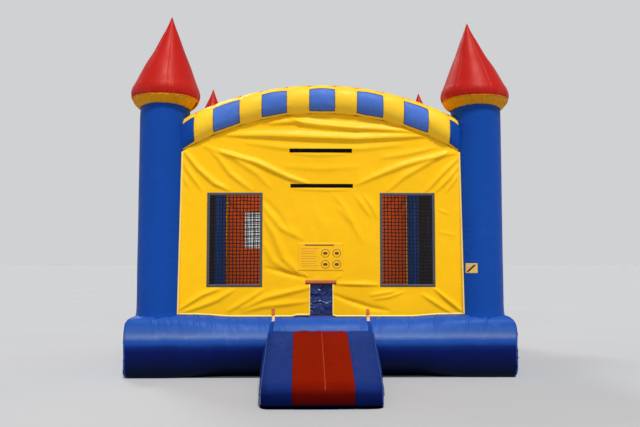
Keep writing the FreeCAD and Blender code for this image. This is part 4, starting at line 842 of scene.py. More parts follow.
# --------------------------------------------------------------------- walls
# Folds of the front wall: where the lit side of each runs, its height, the width
# of its lit side and of its shaded side.
FOLDS = [
    ([(-1.128, 2.885), (-0.61, 2.875), (-0.015, 2.854), (0.43, 2.842), (0.987, 2.867), (1.30, 2.885)], .024, .060, .026),
    ([(-0.62, 3.02), (-0.30, 3.045), (0.021, 3.005), (0.431, 2.968), (0.987, 2.939), (1.15, 2.92)], .022, .050, .024),
    ([(-0.40, 3.105), (-0.208, 2.992), (0.05, 2.955), (0.5, 2.935)], .010, .03, .018),
    ([(-1.194, 2.665), (-0.783, 2.541), (-0.379, 2.354), (-0.149, 2.286)], .020, .034, .024),
    ([(-1.64, 2.68), (-1.467, 2.467), (-1.27, 2.287), (-1.102, 2.204)], .018, .034, .022),
    ([(-1.30, 2.66), (-1.216, 2.584), (-1.078, 2.4), (-0.825, 2.204)], .013, .034, .024),
    ([(-1.668, 2.62), (-1.60, 2.46), (-1.545, 2.386), (-1.406, 2.191)], .012, .026, .020),
    ([(-1.668, 2.46), (-1.62, 2.33), (-1.55, 2.20)], .007, .022, .016),
    ([(-1.40, 2.74), (-1.05, 2.60), (-0.75, 2.40), (-0.60, 2.24)], .010, .040, .028),
    ([(-0.687, 2.10), (-0.493, 1.893), (-0.37, 1.70)], -.010, .03, .03),
    ([(1.60, 2.665), (1.30, 2.60), (0.984, 2.51), (0.62, 2.37), (0.429, 2.282)], .016, .040, .026),
    ([(1.650, 2.60), (1.441, 2.396), (1.234, 2.174)], .014, .026, .020),
    ([(1.667, 2.52), (1.525, 2.341), (1.358, 2.174)], .013, .022, .018),
    ([(1.667, 2.43), (1.58, 2.30), (1.49, 2.17)], .009, .018, .014),
    ([(1.52, 2.68), (1.25, 2.52), (0.983, 2.367), (0.789, 2.201)], .013, .036, .024),
    ([(1.38, 2.73), (1.0, 2.64), (0.72, 2.60)], .008, .036, .024),
    ([(0.185, 2.13), (0.32, 1.954), (0.40, 1.80)], .008, .036, .026),
    ([(0.433, 2.131), (0.595, 1.894)], .010, .034, .024),
    ([(-0.672, 1.893), (-0.539, 1.67), (-0.428, 1.393), (-0.222, 1.197)], .015, .050, .034),
    ([(-0.685, 2.036), (-0.468, 1.768), (-0.222, 1.634)], .012, .050, .032),
    ([(-0.690, 1.60), (-0.56, 1.36), (-0.33, 1.22)], .009, .034, .028),
    ([(-0.656, 1.274), (-0.343, 1.197), (-0.124, 1.149)], -.011, .024, .030),
    ([(-1.660, 0.79), (-1.426, 0.955), (-1.21, 1.035)], .015, .030, .022),
    ([(-1.600, 0.765), (-1.244, 0.899), (-1.041, 1.017)], .013, .030, .024),
    ([(-1.113, 0.768), (-0.872, 0.909), (-0.704, 1.017)], .011, .032, .026),
    ([(-0.124, 1.055), (-0.403, 0.991), (-0.654, 0.93), (-0.95, 0.80)], .013, .034, .028),
    ([(-0.919, 0.768), (-0.701, 0.826), (-0.173, 0.883)], .010, .034, .024),
    ([(0.175, 1.092), (0.45, 1.085), (0.691, 1.078)], .012, .030, .018),
    ([(0.15, 0.958), (0.317, 0.893), (0.586, 0.804), (0.80, 0.77)], -.012, .026, .026),
    ([(1.350, 1.03), (1.500, 0.90), (1.67, 0.744)], .017, .022, .018),
    ([(1.210, 0.96), (1.38, 0.85), (1.541, 0.745)], .012, .026, .020),
    ([(0.587, 0.95), (0.73, 0.975), (0.871, 1.002)], .010, .026, .022),
    ([(0.62, 0.90), (0.80, 0.93), (0.98, 0.99)], .008, .020, .016),
    ([(1.400, 1.968), (1.529, 1.917)], .006, .014, .012),
    ([(1.400, 1.70), (1.60, 1.66)], .004, .014, .012),
    ([(0.216, 1.996), (0.384, 1.814), (0.50, 1.60)], .008, .040, .030),
    ([(0.52, 2.14), (0.62, 2.00), (0.68, 1.86)], .009, .026, .020),
    ([(-0.20, 1.20), (-0.15, 1.15), (-0.13, 1.10)], .006, .014, .012),
    ([(0.22, 1.19), (0.17, 1.14)], .005, .014, .012),
    ([(-0.33, 2.215), (0.10, 2.200), (0.35, 2.210)], .006, .016, .012),
    ([(-0.36, 2.645), (-0.05, 2.62), (0.30, 2.635)], .005, .020, .016),
    ([(-0.45, 2.50), (0.0, 2.47), (0.45, 2.49)], .005, .040, .030),
    ([(-0.05, 1.98), (0.02, 1.80), (0.0, 1.62)], .005, .050, .040),
    ([(-0.9, 2.78), (-0.45, 2.72), (0.0, 2.70), (0.5, 2.715), (0.95, 2.76)], .009, .040, .028),
]
REAR_FOLDS = [
    ([(-1.2, 2.86), (-0.5, 2.90), (0.2, 2.87), (1.15, 2.88)], .020, .055, .026),
    ([(-0.6, 3.00), (0.1, 3.02), (0.8, 2.96)], .014, .045, .024),
    ([(-1.64, 2.66), (-1.40, 2.44), (-1.22, 2.26)], .015, .034, .022),
    ([(-1.66, 2.55), (-1.55, 2.34), (-1.38, 2.10)], .012, .028, .020),
    ([(-1.50, 2.70), (-1.0, 2.52), (-0.5, 2.30)], .015, .036, .026),
    ([(1.63, 2.66), (1.35, 2.46), (1.16, 2.28)], .015, .032, .022),
    ([(1.66, 2.50), (1.50, 2.30), (1.34, 2.08)], .012, .026, .020),
    ([(1.48, 2.70), (0.95, 2.50), (0.55, 2.30)], .014, .036, .024),
    ([(-1.66, 0.78), (-1.40, 1.02), (-1.20, 1.30), (-1.05, 1.52)], .016, .034, .024),
    ([(-1.50, 0.76), (-1.10, 1.00), (-0.75, 1.30)], .012, .040, .028),
    ([(-0.95, 0.78), (-0.55, 1.02), (-0.30, 1.40)], .010, .044, .030),
    ([(1.66, 0.78), (1.38, 1.05), (1.14, 1.34), (1.00, 1.52)], .016, .034, .024),
    ([(1.45, 0.76), (1.05, 1.02), (0.70, 1.30)], .012, .040, .028),
    ([(0.80, 0.78), (0.45, 1.05), (0.20, 1.42)], .010, .044, .030),
    ([(-0.35, 0.80), (0.0, 0.86), (0.45, 0.80)], .010, .040, .024),
    ([(-0.9, 1.44), (0.0, 1.40), (0.9, 1.44)], .008, .040, .026),
]


def fold_height(x, z, folds, seed):
    """How far the cloth stands out towards its own side."""
    x, z = np.broadcast_arrays(np.asarray(x, float), np.asarray(z, float))
    out = np.zeros(x.shape)
    wob = 0.012 * noise(x / 0.30, z / 0.30, 0, seed)
    for pts, amp, wa, wb in folds:
        pts = np.array(pts, float)
        # the crest lies below the lit side
        seg = np.diff(pts, axis=0)
        L = np.linalg.norm(seg, axis=1)
        cum = np.concatenate([[0], np.cumsum(L)])
        total = cum[-1]
        pad = 3.2 * max(wa, wb)
        near = ((x > pts[:, 0].min() - pad) & (x < pts[:, 0].max() + pad)
                & (z > pts[:, 1].min() - pad) & (z < pts[:, 1].max() + pad))
        if not near.any():
            continue
        xs, zs, wb_ = x[near], z[near], wob[near]
        best = np.full(xs.shape, 1e9)
        side = np.zeros(xs.shape)
        along = np.zeros(xs.shape)
        for k in range(len(seg)):
            d = seg[k] / L[k]
            nrm = np.array([-d[1], d[0]])
            if nrm[1] < 0 or (abs(nrm[1]) < 1e-9 and nrm[0] < 0):
                nrm = -nrm  # points up
            a = pts[k] - nrm * wa * 0.55
            rx_, rz_ = xs - a[0], zs - a[1]
            t = np.clip((rx_ * d[0] + rz_ * d[1]) / L[k], 0, 1)
            ex, ez = rx_ - t * L[k] * d[0], rz_ - t * L[k] * d[1]
            dist = np.hypot(ex, ez)
            hit = dist < best
            best = np.where(hit, dist, best)
            side = np.where(hit, np.sign(ex * nrm[0] + ez * nrm[1]), side)
            along = np.where(hit, cum[k] + t * L[k], along)
        q = along / total
        env = np.sqrt(np.clip(np.sin(PI * np.clip(q * 0.94 + 0.03, 0, 1)), 0, 1))
        dist = np.where(side > 0, best + wb_ * 0.4, best)
        w = np.where(side > 0, wa, wb) * (0.55 + 0.6 * env)
        out[near] += 1.55 * amp * env * np.exp(-((dist / w) ** 2) * 1.1)
    return out


WALL_Y = 2.0945
ARCH_IN = 3.219


def wall_disp(x, z, sign):
    folds, seed = (FOLDS, 11) if sign < 0 else (REAR_FOLDS, 12)
    f = fold_height(x if sign < 0 else -x, z, folds, seed)
    r = np.sqrt(x * x + (z - AZ) ** 2)
    side = np.minimum(1.672 - np.abs(x), (ARCH_IN + 0.004 - r))
    side = np.minimum(side, z - 0.69)
    fade = smooth(0.0, 0.045, side)
    if sign < 0:
        dx = np.maximum(np.abs(np.abs(x) - 1.03) - 0.33, 0)
        dz = np.maximum(np.abs(z - 1.599) - 0.561, 0)
    else:
        dx = np.maximum(np.abs(x + 0.0925) - 1.2225, 0)
        dz = np.maximum(np.abs(z - 1.89) - 0.35, 0)
    win = smooth(0.0, 0.035, np.hypot(dx, dz))
    f = f * fade * (0.12 + 0.88 * win)
    belly = 0.014 * np.clip(1 - (x / 1.672) ** 2, 0, 1) * np.clip(np.sin(PI * np.clip((z - 0.70) / 2.4, 0, 1)), 0, 1)
    # puckers along the sewn edges
    e1 = np.exp(-np.maximum(1.672 - np.abs(x), 0) / 0.05) * (ridge(z / 0.09, 0, 0, seed + 3) - 0.3)
    e2 = np.exp(-np.maximum(ARCH_IN - r, 0) / 0.045) * (ridge(x / 0.10, 0, 0, seed + 4) - 0.3)
    e3 = np.exp(-np.maximum(z - 0.70, 0) / 0.04) * (ridge(x / 0.13, 0, 0, seed + 5) - 0.3)
    small = 0.0022 * fbm(x / 0.26, z / 0.26, 0, seed + 6, 3) * (0.3 + 0.7 * win)
    return f + belly + small * fade + 0.0035 * e1 + 0.0045 * e2 + 0.003 * e3


def wall_low(x):
    gap = 0.017 * smooth(-0.36, -0.28, x) * (1 - smooth(0.11, 0.19, x))
    return tube_top_at(x, 2.10) + 0.001 + gap


def wall(sign, x, z):
    x, z = np.broadcast_arrays(np.asarray(x, float), np.asarray(z, float))
    spread = 0.024 * smooth(1.39, 1.672, np.abs(x)) * np.clip(1 - (z - 0.70) / 1.94, 0, 1)
    wide = x + np.sign(x) * spread
    y = WALL_Y + wall_disp(x, z, sign)
    in_col = np.sqrt(np.maximum(0.3075 ** 2 - (1.91 - np.abs(wide)) ** 2, 0))
    y = np.where(np.abs(wide) > 1.6025, np.maximum(y, 1.91 + in_col + 0.003), y)
    return np.stack([wide, sign * y, z], -1)


def wall_rows(x, zline):
    """Levels of the wall's rows at each x: straight between 0.75 and 2.55, fanned to the edges beyond."""
    top = np.sqrt(ARCH_IN ** 2 - x ** 2) + AZ - 0.001
    low = wall_low(x)
    z = zline * np.ones_like(x)
    z = np.where(zline > 2.55, 2.55 + (zline - 2.55) / (3.119 - 2.55) * (top - 2.55), z)
    z = np.where(zline < 0.75, 0.75 - (0.75 - zline) / (0.75 - 0.70) * (0.75 - low), z)
    return z


def normals_of(P):
    du = np.gradient(P, axis=0)
    dv = np.gradient(P, axis=1)
    N = np.cross(du, dv)
    return N / np.maximum(np.linalg.norm(N, axis=-1, keepdims=True), 1e-12)


def build_wall(name, sign, xkeys, zkeys, hole, thick=0.0022):
    xs = steps(xkeys, 0.0125)
    zs = steps(zkeys, 0.0125)
    Xg, Zl = np.meshgrid(xs, zs, indexing="ij")
    Zg = wall_rows(Xg, Zl)
    P = wall(sign, Xg, Zg)
    N = normals_of(P)
    if (N[..., 1].mean() > 0) != (sign > 0):
        N = -N
    xc = (xs[:-1] + xs[1:]) / 2
    zc = (zs[:-1] + zs[1:]) / 2
    XC, ZCc = np.meshgrid(xc, zc, indexing="ij")
    return sheet_solid(name, P, N, thick, -thick / 2, ~hole(XC, ZCc))


def front_hole(x, z):
    win = (np.abs(np.abs(x) - 1.03) < 0.30) & (np.abs(z - 1.599) < 0.531)
    door = (np.abs(x) < 0.132) & (z < 1.074)
    return win | door


def rear_hole(x, z):
    return (np.abs(x + 0.0925) < 1.1925) & (np.abs(z - 1.89) < 0.32)


xk = [-1.672, -1.33, -0.73, -0.132, 0.132, 0.73, 1.33, 1.672]
zk = [0.70, 0.75, 1.068, 1.074, 2.13, 2.55, 3.119]
wall_front = finish_piece(build_wall("wall_front_cloth", -1, xk, zk, front_hole), "wall_yellow", nodes="front_wall")
xk = [-1.672, -1.285, 1.10, 1.672]
zk = [0.70, 0.75, 1.57, 2.21, 2.55, 3.119]
wall_rear = finish_piece(build_wall("wall_rear_cloth", 1, xk, zk, rear_hole), "wall_yellow", nodes="rear_wall")


# orange sheets just inside each wall: painted shade, standing for the yellow wall's inner face in shade and lit from
# behind
SHADE_SHEET_IN = 0.0042
for sign, hole, xk in ((-1, front_hole, [-1.595, -1.33, -0.73, -0.132, 0.132, 0.73, 1.33, 1.595]), (1, rear_hole, [-1.595, -1.285, 1.10, 1.595])):
    zk = [0.70, 0.75, 1.068, 1.074, 2.13, 2.55, 3.119] if sign < 0 else [0.70, 0.75, 1.57, 2.21, 2.55, 3.119]
    xs = steps(xk, 0.025)
    zs = steps(zk, 0.025)
    Xg, Zl = np.meshgrid(xs, zs, indexing="ij")
    P = wall(sign, Xg, wall_rows(Xg, Zl))
    N = normals_of(P)
    if (N[..., 1].mean() > 0) != (sign > 0):
        N = -N
    XC, ZC_ = np.meshgrid((xs[:-1] + xs[1:]) / 2, (zs[:-1] + zs[1:]) / 2, indexing="ij")
    o = sheet_solid("wall_inner_shade_sheet_" + ("front" if sign < 0 else "rear"), P, N, 0.0012, -SHADE_SHEET_IN, ~hole(XC, ZC_))
    finish_piece(o, "inner_face_shade")


def on_wall(name, sign, rects, lift, thick, step=0.0125, hole=None, uv=None):
    """A thin piece on a wall: rectangles (x0, x1, z0, z1); U runs along the longer side."""
    parts = []
    for x0, x1, z0, z1 in rects:
        xs = steps([x0, x1], step)
        zs = steps([z0, z1], step)
        if len(xs) < 3:
            xs = np.linspace(x0, x1, 3)
        if len(zs) < 3:
            zs = np.linspace(z0, z1, 3)
        Xg, Zg = np.meshgrid(xs, zs, indexing="ij")
        P = wall(sign, Xg, Zg)
        h = 0.002
        N = np.cross(wall(sign, Xg + h, Zg) - wall(sign, Xg - h, Zg), wall(sign, Xg, Zg + h) - wall(sign, Xg, Zg - h))
        N /= np.linalg.norm(N, axis=-1, keepdims=True)
        if (N[..., 1].mean() > 0) != (sign > 0):
            N = -N
        along = (Xg, (Zg - z0) / (z1 - z0)) if (x1 - x0) >= (z1 - z0) else (Zg, (Xg - x0) / (x1 - x0))
        parts.append(sheet_solid("w", P, N, thick, lift, None, np.stack(along, -1)))
    return join(name, parts)


def frame_rects(x0, x1, z0, z1, w):
    return [(x0, x1, z1 - w, z1), (x0, x1, z0, z0 + w), (x0, x0 + w, z0 + w, z1 - w), (x1 - w, x1, z0 + w, z1 - w)]


front_bind = finish_piece(on_wall("window_bindings_front", -1, frame_rects(-1.36, -0.70, 1.038, 2.16, 0.032) + frame_rects(0.70, 1.36, 1.038, 2.16, 0.032),
                                  0.0012, 0.0026), "binding", nodes="front_window_bindings")
rear_bind = finish_piece(on_wall("window_binding_rear", 1, frame_rects(-1.315, 1.130, 1.540, 2.240, 0.032), 0.0012, 0.0026),
                         "binding", nodes="rear_window_binding")

# hems: a pale folded edge round each wall
def wall_hem(name, sign):
    parts = []
    h = 0.002
    def strip(U, V, fn, uv):
        P = fn(U, V)
        N = normals_of(P)
        if (N[..., 1].mean() > 0) != (sign > 0):
            N = -N
        parts.append(sheet_solid("h", P, N, 0.0022, 0.0010, None, uv))
    # bottom, in runs beside the doorway
    runs = [(-1.670, -0.134), (0.134, 1.670)] if sign < 0 else [(-1.670, 1.670)]
    for a, b in runs:
        U, V = np.meshgrid(steps([a, b], 0.0125), np.linspace(0, 1, 3), indexing="ij")
        strip(U, V, lambda u, v: wall(sign, u, wall_low(u) + 0.0005 + v * 0.020), np.stack([U, V], -1))
    for sx in (-1, 1):
        U, V = np.meshgrid(steps([0.715, 2.645], 0.0125), np.linspace(0, 1, 3), indexing="ij")
        strip(U, V, lambda u, v: wall(sign, sx * (1.671 - v * 0.017), u), np.stack([U, V], -1))
    if sign < 0:
        for sx in (-1, 1):
            U, V = np.meshgrid(steps([0.715, 1.070], 0.0125), np.linspace(0, 1, 3), indexing="ij")
            strip(U, V, lambda u, v: wall(sign, sx * (0.1325 + v * 0.014), u), np.stack([U, V], -1))
    return join(name, parts)


hem_front = finish_piece(wall_hem("wall_hem_front", -1), "hem_yellow")
hem_rear = finish_piece(wall_hem("wall_hem_rear", 1), "hem_yellow")
strips = finish_piece(on_wall("banner_tapes", -1, [(-0.381, 0.368, 2.645, 2.690), (-0.368, 0.379, 2.221, 2.266)], 0.0012, 0.003),
                      "hook", nodes="banner_strips")
header = finish_piece(on_wall("entrance_header_webbing", -1, [(-0.189, 0.179, 1.084, 1.122)], 0.0014, 0.003), "orange",
                      nodes="entrance_header_strap")
# a dark red strip under the header webbing: a painted shadow
header_shadow = finish_piece(on_wall("entrance_header_painted_shadow", -1, [(-0.189, 0.179, 1.072, 1.0845)], 0.0012, 0.0045), "header_shadow_red")
panel = finish_piece(on_wall("info_panel", -1, [(-0.277, 0.262, 1.229, 1.562)], 0.0010, 0.0008), "print_base", nodes="info_patch")
bars = on_wall("info_bars", -1, [(-0.195, 0.150, 1.527, 1.541)], 0.0019, 0.0005)
finish_piece(bars, "print_dark")
bars2 = on_wall("info_lines", -1, [(-0.235, -0.04, 1.488, 1.495), (-0.235, -0.055, 1.459, 1.464), (-0.235, -0.065, 1.434, 1.439), (-0.235, -0.05, 1.400, 1.406),
                                  (-0.235, -0.07, 1.374, 1.379), (-0.235, -0.055, 1.341, 1.347), (-0.235, -0.08, 1.314, 1.319), (-0.235, -0.05, 1.286, 1.292)], 0.0019, 0.0005)
finish_piece(bars2, "print_faint")
marks = []
for cx_, cz_ in ((0.048, 1.437), (0.184, 1.437), (0.048, 1.306), (0.184, 1.306)):
    def ring_surface(u, v, cx_=cx_, cz_=cz_):
        r = 0.044 + v * 0.006
        return wall(-1, cx_ + r * np.cos(u), cz_ + r * np.sin(u))
    marks.append(surface_patch("r", ring_surface, np.linspace(0, 2 * PI, 33), np.linspace(1, 0, 2), 0.0019, 0.0005, flip=True))
    def dot_surface(u, v, cx_=cx_, cz_=cz_):
        r = 0.002 + v * 0.020
        return wall(-1, cx_ + r * np.cos(u) * 1.2, cz_ + r * np.sin(u) * 0.8)
    marks.append(surface_patch("r", dot_surface, np.linspace(0, 2 * PI, 17), np.linspace(1, 0, 2), 0.0019, 0.0005, flip=True))
marks = finish_piece(join("info_rings", marks), "print_dark")


# ---------------------------------------------------------------------- nets
def net(name, place, U, V, pitch, w, seed, knots=True, bow=0.0):
    """Knotted netting: place(u, v, out) gives a point; U and V are the (start, end) of the opening."""
    nu_ = int(round((U[1] - U[0]) / pitch)); nv_ = int(round((V[1] - V[0]) / pitch))
    us = np.linspace(U[0], U[1], nu_ + 1)
    vs = np.linspace(V[0], V[1], nv_ + 1)
    Ug, Vg = np.meshgrid(us, vs, indexing="ij")
    inside = np.sin(PI * np.clip((Ug - U[0]) / (U[1] - U[0]), 0, 1)) * np.sin(PI * np.clip((Vg - V[0]) / (V[1] - V[0]), 0, 1))
    Uj = Ug + 0.10 * pitch * noise(Ug / 0.11, Vg / 0.11, 0, seed) * np.minimum(1, 6 * inside)
    Vj = Vg + (0.10 * pitch * noise(Ug / 0.13, Vg / 0.13, 5, seed + 1) - 0.10 * pitch * inside) * np.minimum(1, 6 * inside)
    O = bow * inside + 0.003 * noise(Ug / 0.2, Vg / 0.2, 9, seed + 2) * np.minimum(1, 4 * inside)
    h = w / 2
    verts, faces = [], []

    def strand(u, v, o, along_u):
        n = len(u)
        base = len(verts)
        for k in range(n):
            for a, b in ((h, 0), (0, h), (-h, 0), (0, -h)):
                if along_u:
                    verts.append(place(u[k], v[k] + a, o[k] + b * 0.9))
                else:
                    verts.append(place(u[k] + a, v[k], o[k] + b * 0.9))
        for k in range(n - 1):
            for c in range(4):
                c2 = (c + 1) % 4
                faces.append((base + 4 * k + c, base + 4 * k + c2, base + 4 * (k + 1) + c2, base + 4 * (k + 1) + c))
        faces.append((base + 3, base + 2, base + 1, base))
        e_ = base + 4 * (n - 1)
        faces.append((e_, e_ + 1, e_ + 2, e_ + 3))

    for i in range(1, len(us) - 1):
        strand(Uj[i], Vj[i], O[i], False)
    for j in range(1, len(vs) - 1):
        strand(Uj[:, j], Vj[:, j], O[:, j], True)
    if knots:
        k_ = w * 0.95
        for i in range(1, len(us) - 1):
            for j in range(1, len(vs) - 1):
                b = len(verts)
                u, v, o = Uj[i, j], Vj[i, j], O[i, j]
                for a, c, d in ((k_, 0, 0), (0, k_, 0), (-k_, 0, 0), (0, -k_, 0), (0, 0, k_ * 0.8), (0, 0, -k_ * 0.8)):
                    verts.append(place(u + a, v + c, o + d))
                for c in range(4):
                    c2 = (c + 1) % 4
                    faces.append((b + c, b + c2, b + 4))
                    faces.append((b + c2, b + c, b + 5))
    mesh = bpy.data.meshes.new(name)
    mesh.from_pydata([tuple(map(float, p)) for p in verts], [], faces)
    obj = bpy.data.objects.new(name, mesh)
    bpy.context.scene.collection.objects.link(obj)
    bm = bmesh.new(); bm.from_mesh(mesh)
    bmesh.ops.recalc_face_normals(bm, faces=bm.faces)
    bm.to_mesh(mesh); bm.free()
    return obj


for sx, nm in ((-1, "left"), (1, "right")):
    o = net("window_net_front_" + nm, lambda u, v, out: (u, -2.0955 - out, v), (sx * 1.03 - 0.316, sx * 1.03 + 0.316), (1.054, 2.144), 0.042, 0.011, 20 + sx, True, 0.010)
    finish_piece(o, "net", nodes="front_window_nets")
o = net("window_net_rear", lambda u, v, out: (u, 2.0955 + out, v), (-1.300, 1.115), (1.555, 2.225), 0.042, 0.010, 25, True, 0.010)
finish_piece(o, "net", nodes="rear_window_net")
for sx, nm in ((-1, "left"), (1, "right")):
    o = net("side_netting_" + nm, lambda u, v, out, sx=sx: (sx * (1.765 + out), u, v), (-1.625, 1.625), (0.728, 2.660), 0.045, 0.009, 27 + sx, False, 0.012)
    finish_piece(o, "net", nodes=nm + "_side_net")
parts = []
for sx in (-1, 1):
    for (a, b, c, d) in frame_rects(-1.64, 1.64, 0.7135, 2.6735, 0.032):
        ys = steps([a, b], 0.03); zs = steps([c, d], 0.03)
        if len(ys) < 3: ys = np.linspace(a, b, 3)
        if len(zs) < 3: zs = np.linspace(c, d, 3)
        Yg, Zg = np.meshgrid(ys, zs, indexing="ij")
        P = np.stack([sx * (1.7625 + 0.0015 * noise(Yg / 0.2, Zg / 0.2, 0, 33)), Yg, Zg], -1)
        N = np.zeros_like(P); N[..., 0] = sx
        al = (Yg, (Zg - c) / (d - c)) if (b - a) > (d - c) else (Zg, (Yg - a) / (b - a))
        parts.append(sheet_solid("b", P, N, 0.006, 0.0, None, np.stack(al, -1)))
side_bind = finish_piece(join("side_net_edging", parts), "binding", nodes="side_net_bindings")

# small tag sewn to the right front column
tg = TOWERS[1]
aa0, aa1 = math.atan2(-math.sqrt(RCOL ** 2 - 0.199 ** 2), -0.199), math.atan2(-math.sqrt(RCOL ** 2 - 0.071 ** 2), -0.071)
tag = surface_patch("column_tag", lambda u, v: column(tg, u, v), steps([1.202, 1.318], 0.01), np.linspace(aa1, aa0, 12), 0.0004, 0.0022, flip=True)
finish_piece(tag, "tag", nodes="column_patch")
tag_b = surface_patch("column_tag_mark", lambda u, v: column(tg, 1.26 + (u - 0.5) * 0.085 + 0.0 * v, (aa0 + aa1) / 2 + (v - 0.5) * 0.11 + (u - 0.5) * 0.30),
                      np.linspace(0, 1, 12), np.linspace(1, 0, 5), 0.0026, 0.0005, flip=True)
finish_piece(tag_b, "print_dark")

# -------------------------------------------------------------- entrance flaps
for nm, x0, x1, seed in (("left", -0.166, -0.0004, 61), ("right", 0.0004, 0.166, 62)):
    xs = np.linspace(x0, x1, 46)
    zs = np.linspace(0.712, 1.104, 104)
    Xg, Zg = np.meshgrid(xs, zs, indexing="ij")
    hang = smooth(1.104, 1.03, Zg)
    c1 = ridge(Xg / 0.10 + 0.35 * noise(Zg / 0.10, 0, 0, seed), Zg / 0.075, 0, seed)
    c2 = ridge(Xg / 0.055, Zg / 0.05 + 0.5 * noise(Xg / 0.06, 3, 0, seed), 2, seed + 3)
    c3 = fbm(Xg / 0.13, Zg / 0.10, 4, seed + 6, 3)
    d = hang * (0.014 * c1 + 0.006 * c2 + 0.008 * c3)
    belly = 0.010 * hang * np.sin(PI * (Xg - x0) / (x1 - x0))
    Yg = -2.0845 + np.maximum(0.022 * hang - d - belly + 0.004, 0.0005)
    Xs = Xg + 0.002 * hang * smooth(0.0, 0.03, np.abs(Xg)) * noise(Zg / 0.05, Xg / 0.05, 0, seed + 8)
    P = np.stack([Xs, Yg, Zg], -1)
    N = normals_of(P)
    if N[..., 1].mean() > 0:
        N = -N
    o = sheet_solid("flap_cloth_" + nm, P, N, 0.0014, -0.0007)
    finish_piece(o, "flap_blue", body=nm + "_flap", nodes="entrance_flap_" + nm)

# --------------------------------------------------------------------- ramp
RY0, RYF, RZ0, RZF, RW, RR, RCX = 2.2896, 3.945, 0.540, 0.205, 0.622, 0.095, -0.009
slope = np.array([RYF - 0.010 - RY0, RZF - RZ0])
slope_len = np.linalg.norm(slope)
sdir = slope / slope_len
front_dir = np.array([0.010, RZF * 0.5 - RZF]) ; front_dir = np.array([0.010, -0.1025]); front_dir /= np.linalg.norm(front_dir)
turn = math.acos(float(np.clip(np.dot(sdir, front_dir), -1, 1)))
tan_len = RR * math.tan(turn / 2)


def ramp_profile(q):
    """Point and outward direction in the (out, up) plane, q metres from the rear top edge down the slope and the front."""
    q = np.asarray(q, float)
    la = slope_len - tan_len
    arc = RR * turn
    p0 = np.array([RY0, RZ0])
    n_s = np.array([-sdir[1], sdir[0]])
    corner = p0 + sdir * la
    centre = corner - n_s * RR
    ang = np.clip((q - la) / RR, 0, turn)
    out = np.zeros(q.shape + (2,)); nrm = np.zeros(q.shape + (2,))
    a0 = math.atan2(n_s[1], n_s[0])
    nrm[..., 0] = np.cos(a0 - ang); nrm[..., 1] = np.sin(a0 - ang)
    out[..., 0] = centre[0] + RR * nrm[..., 0]
    out[..., 1] = centre[1] + RR * nrm[..., 1]
    before = q < la
    out[before] = p0 + sdir * q[before][..., None]
    after = q > la + arc
    endp = centre + RR * np.array([math.cos(a0 - turn), math.sin(a0 - turn)])
    out[after] = endp + front_dir * (q[after] - la - arc)[..., None]
    return out, nrm


SR = 0.098
Q_END = slope_len - tan_len + RR * turn + 0.105


def ramp_sides(q):
    """Left and right edges of the ramp, which draws in towards the front."""
    f = np.clip(q / slope_len, 0, 1)
    return -0.622 + 0.026 * f, 0.622 - 0.070 * f


def ramp_top(t, q, lift=0.0):
    """t -1 at the ramp's left edge to 1 at its right, q metres down the slope."""
    t, q = np.broadcast_arrays(np.asarray(t, float), np.asarray(q, float))
    p, n = ramp_profile(q)
    left, right = ramp_sides(q)
    mid, half = (left + right) / 2, (right - left) / 2
    x = t * half
    ax = np.minimum(np.abs(x), half)
    edge = half - ax
    over = np.clip(SR - edge, 0, SR)
    e = SR - np.sqrt(np.maximum(SR * SR - over * over, 0))
    crown = 0.020 * np.clip(1 - t ** 2, 0, 1) * smooth(0.0, 0.25, q) * (1 - 0.5 * smooth(slope_len - 0.25, slope_len + 0.1, q))
    d = 0.003 * fbm(x / 0.22, q / 0.30, 0, 201, 2)
    d = d + 0.0075 * np.exp(-np.maximum(edge - SR * 0.7, 0) / 0.06) * (ridge(q / 0.085, x * 1.5, 0, 203) - 0.3)
    d = d + 0.008 * np.exp(-(((q - slope_len) / 0.07) ** 2)) * (ridge(x / 0.09, q / 0.5, 0, 205) - 0.3)
    d = d + 0.008 * np.exp(-q / 0.12) * (ridge(x / 0.10, q / 0.4, 0, 206) - 0.3)
    # sewn seams beside the tread, and a faint one down its middle
    tl, tr = tread_edges(q)
    world = RCX + mid + x
    for xs_, dp, sd in ((tl, 0.007, 1), (tr, 0.007, 2), ((tl + tr) / 2 + 0.016, 0.0040, 3)):
        d = d - dp * np.exp(-(((world - xs_) / 0.010) ** 2))
        d = d + 0.35 * dp * np.exp(-(((np.abs(world - xs_) - 0.035) / 0.03) ** 2)) * (ridge(q / 0.07, sd * 3.3, 0, 208) - 0.2)
    amt = crown + d + lift - e
    pos = p + n * amt[..., None]
    return np.stack([world, -pos[..., 0], np.maximum(pos[..., 1], 0.003)], -1)


def tread_edges(q):
    f = np.clip(q / slope_len, 0, 1)
    return -0.326 + 0.020 * f, 0.290 - 0.017 * f


def ramp_at(x, q):
    """Point on the ramp at the true sideways place x."""
    left, right = ramp_sides(np.asarray(q, float))
    return ramp_top((x - RCX - (left + right) / 2) / ((right - left) / 2), q)


qs = np.concatenate([np.linspace(0, 0.2, 18)[:-1], np.linspace(0.2, slope_len - 0.2, 84)[:-1], np.linspace(slope_len - 0.2, Q_END, 40)])
xk = np.concatenate([np.linspace(-1, -0.84, 14)[:-1], np.linspace(-0.84, -0.56, 16)[:-1], np.linspace(-0.56, -0.44, 13)[:-1],
                     np.linspace(-0.44, 0.40, 60)[:-1], np.linspace(0.40, 0.54, 14)[:-1], np.linspace(0.54, 0.84, 16)[:-1], np.linspace(0.84, 1, 14)])
Xg, Qg = np.meshgrid(xk, qs, indexing="ij")
T = ramp_top(Xg, Qg)
verts = [T.reshape(-1, 3)]
faces = [grid_faces(*Xg.shape)]
base = Xg.size
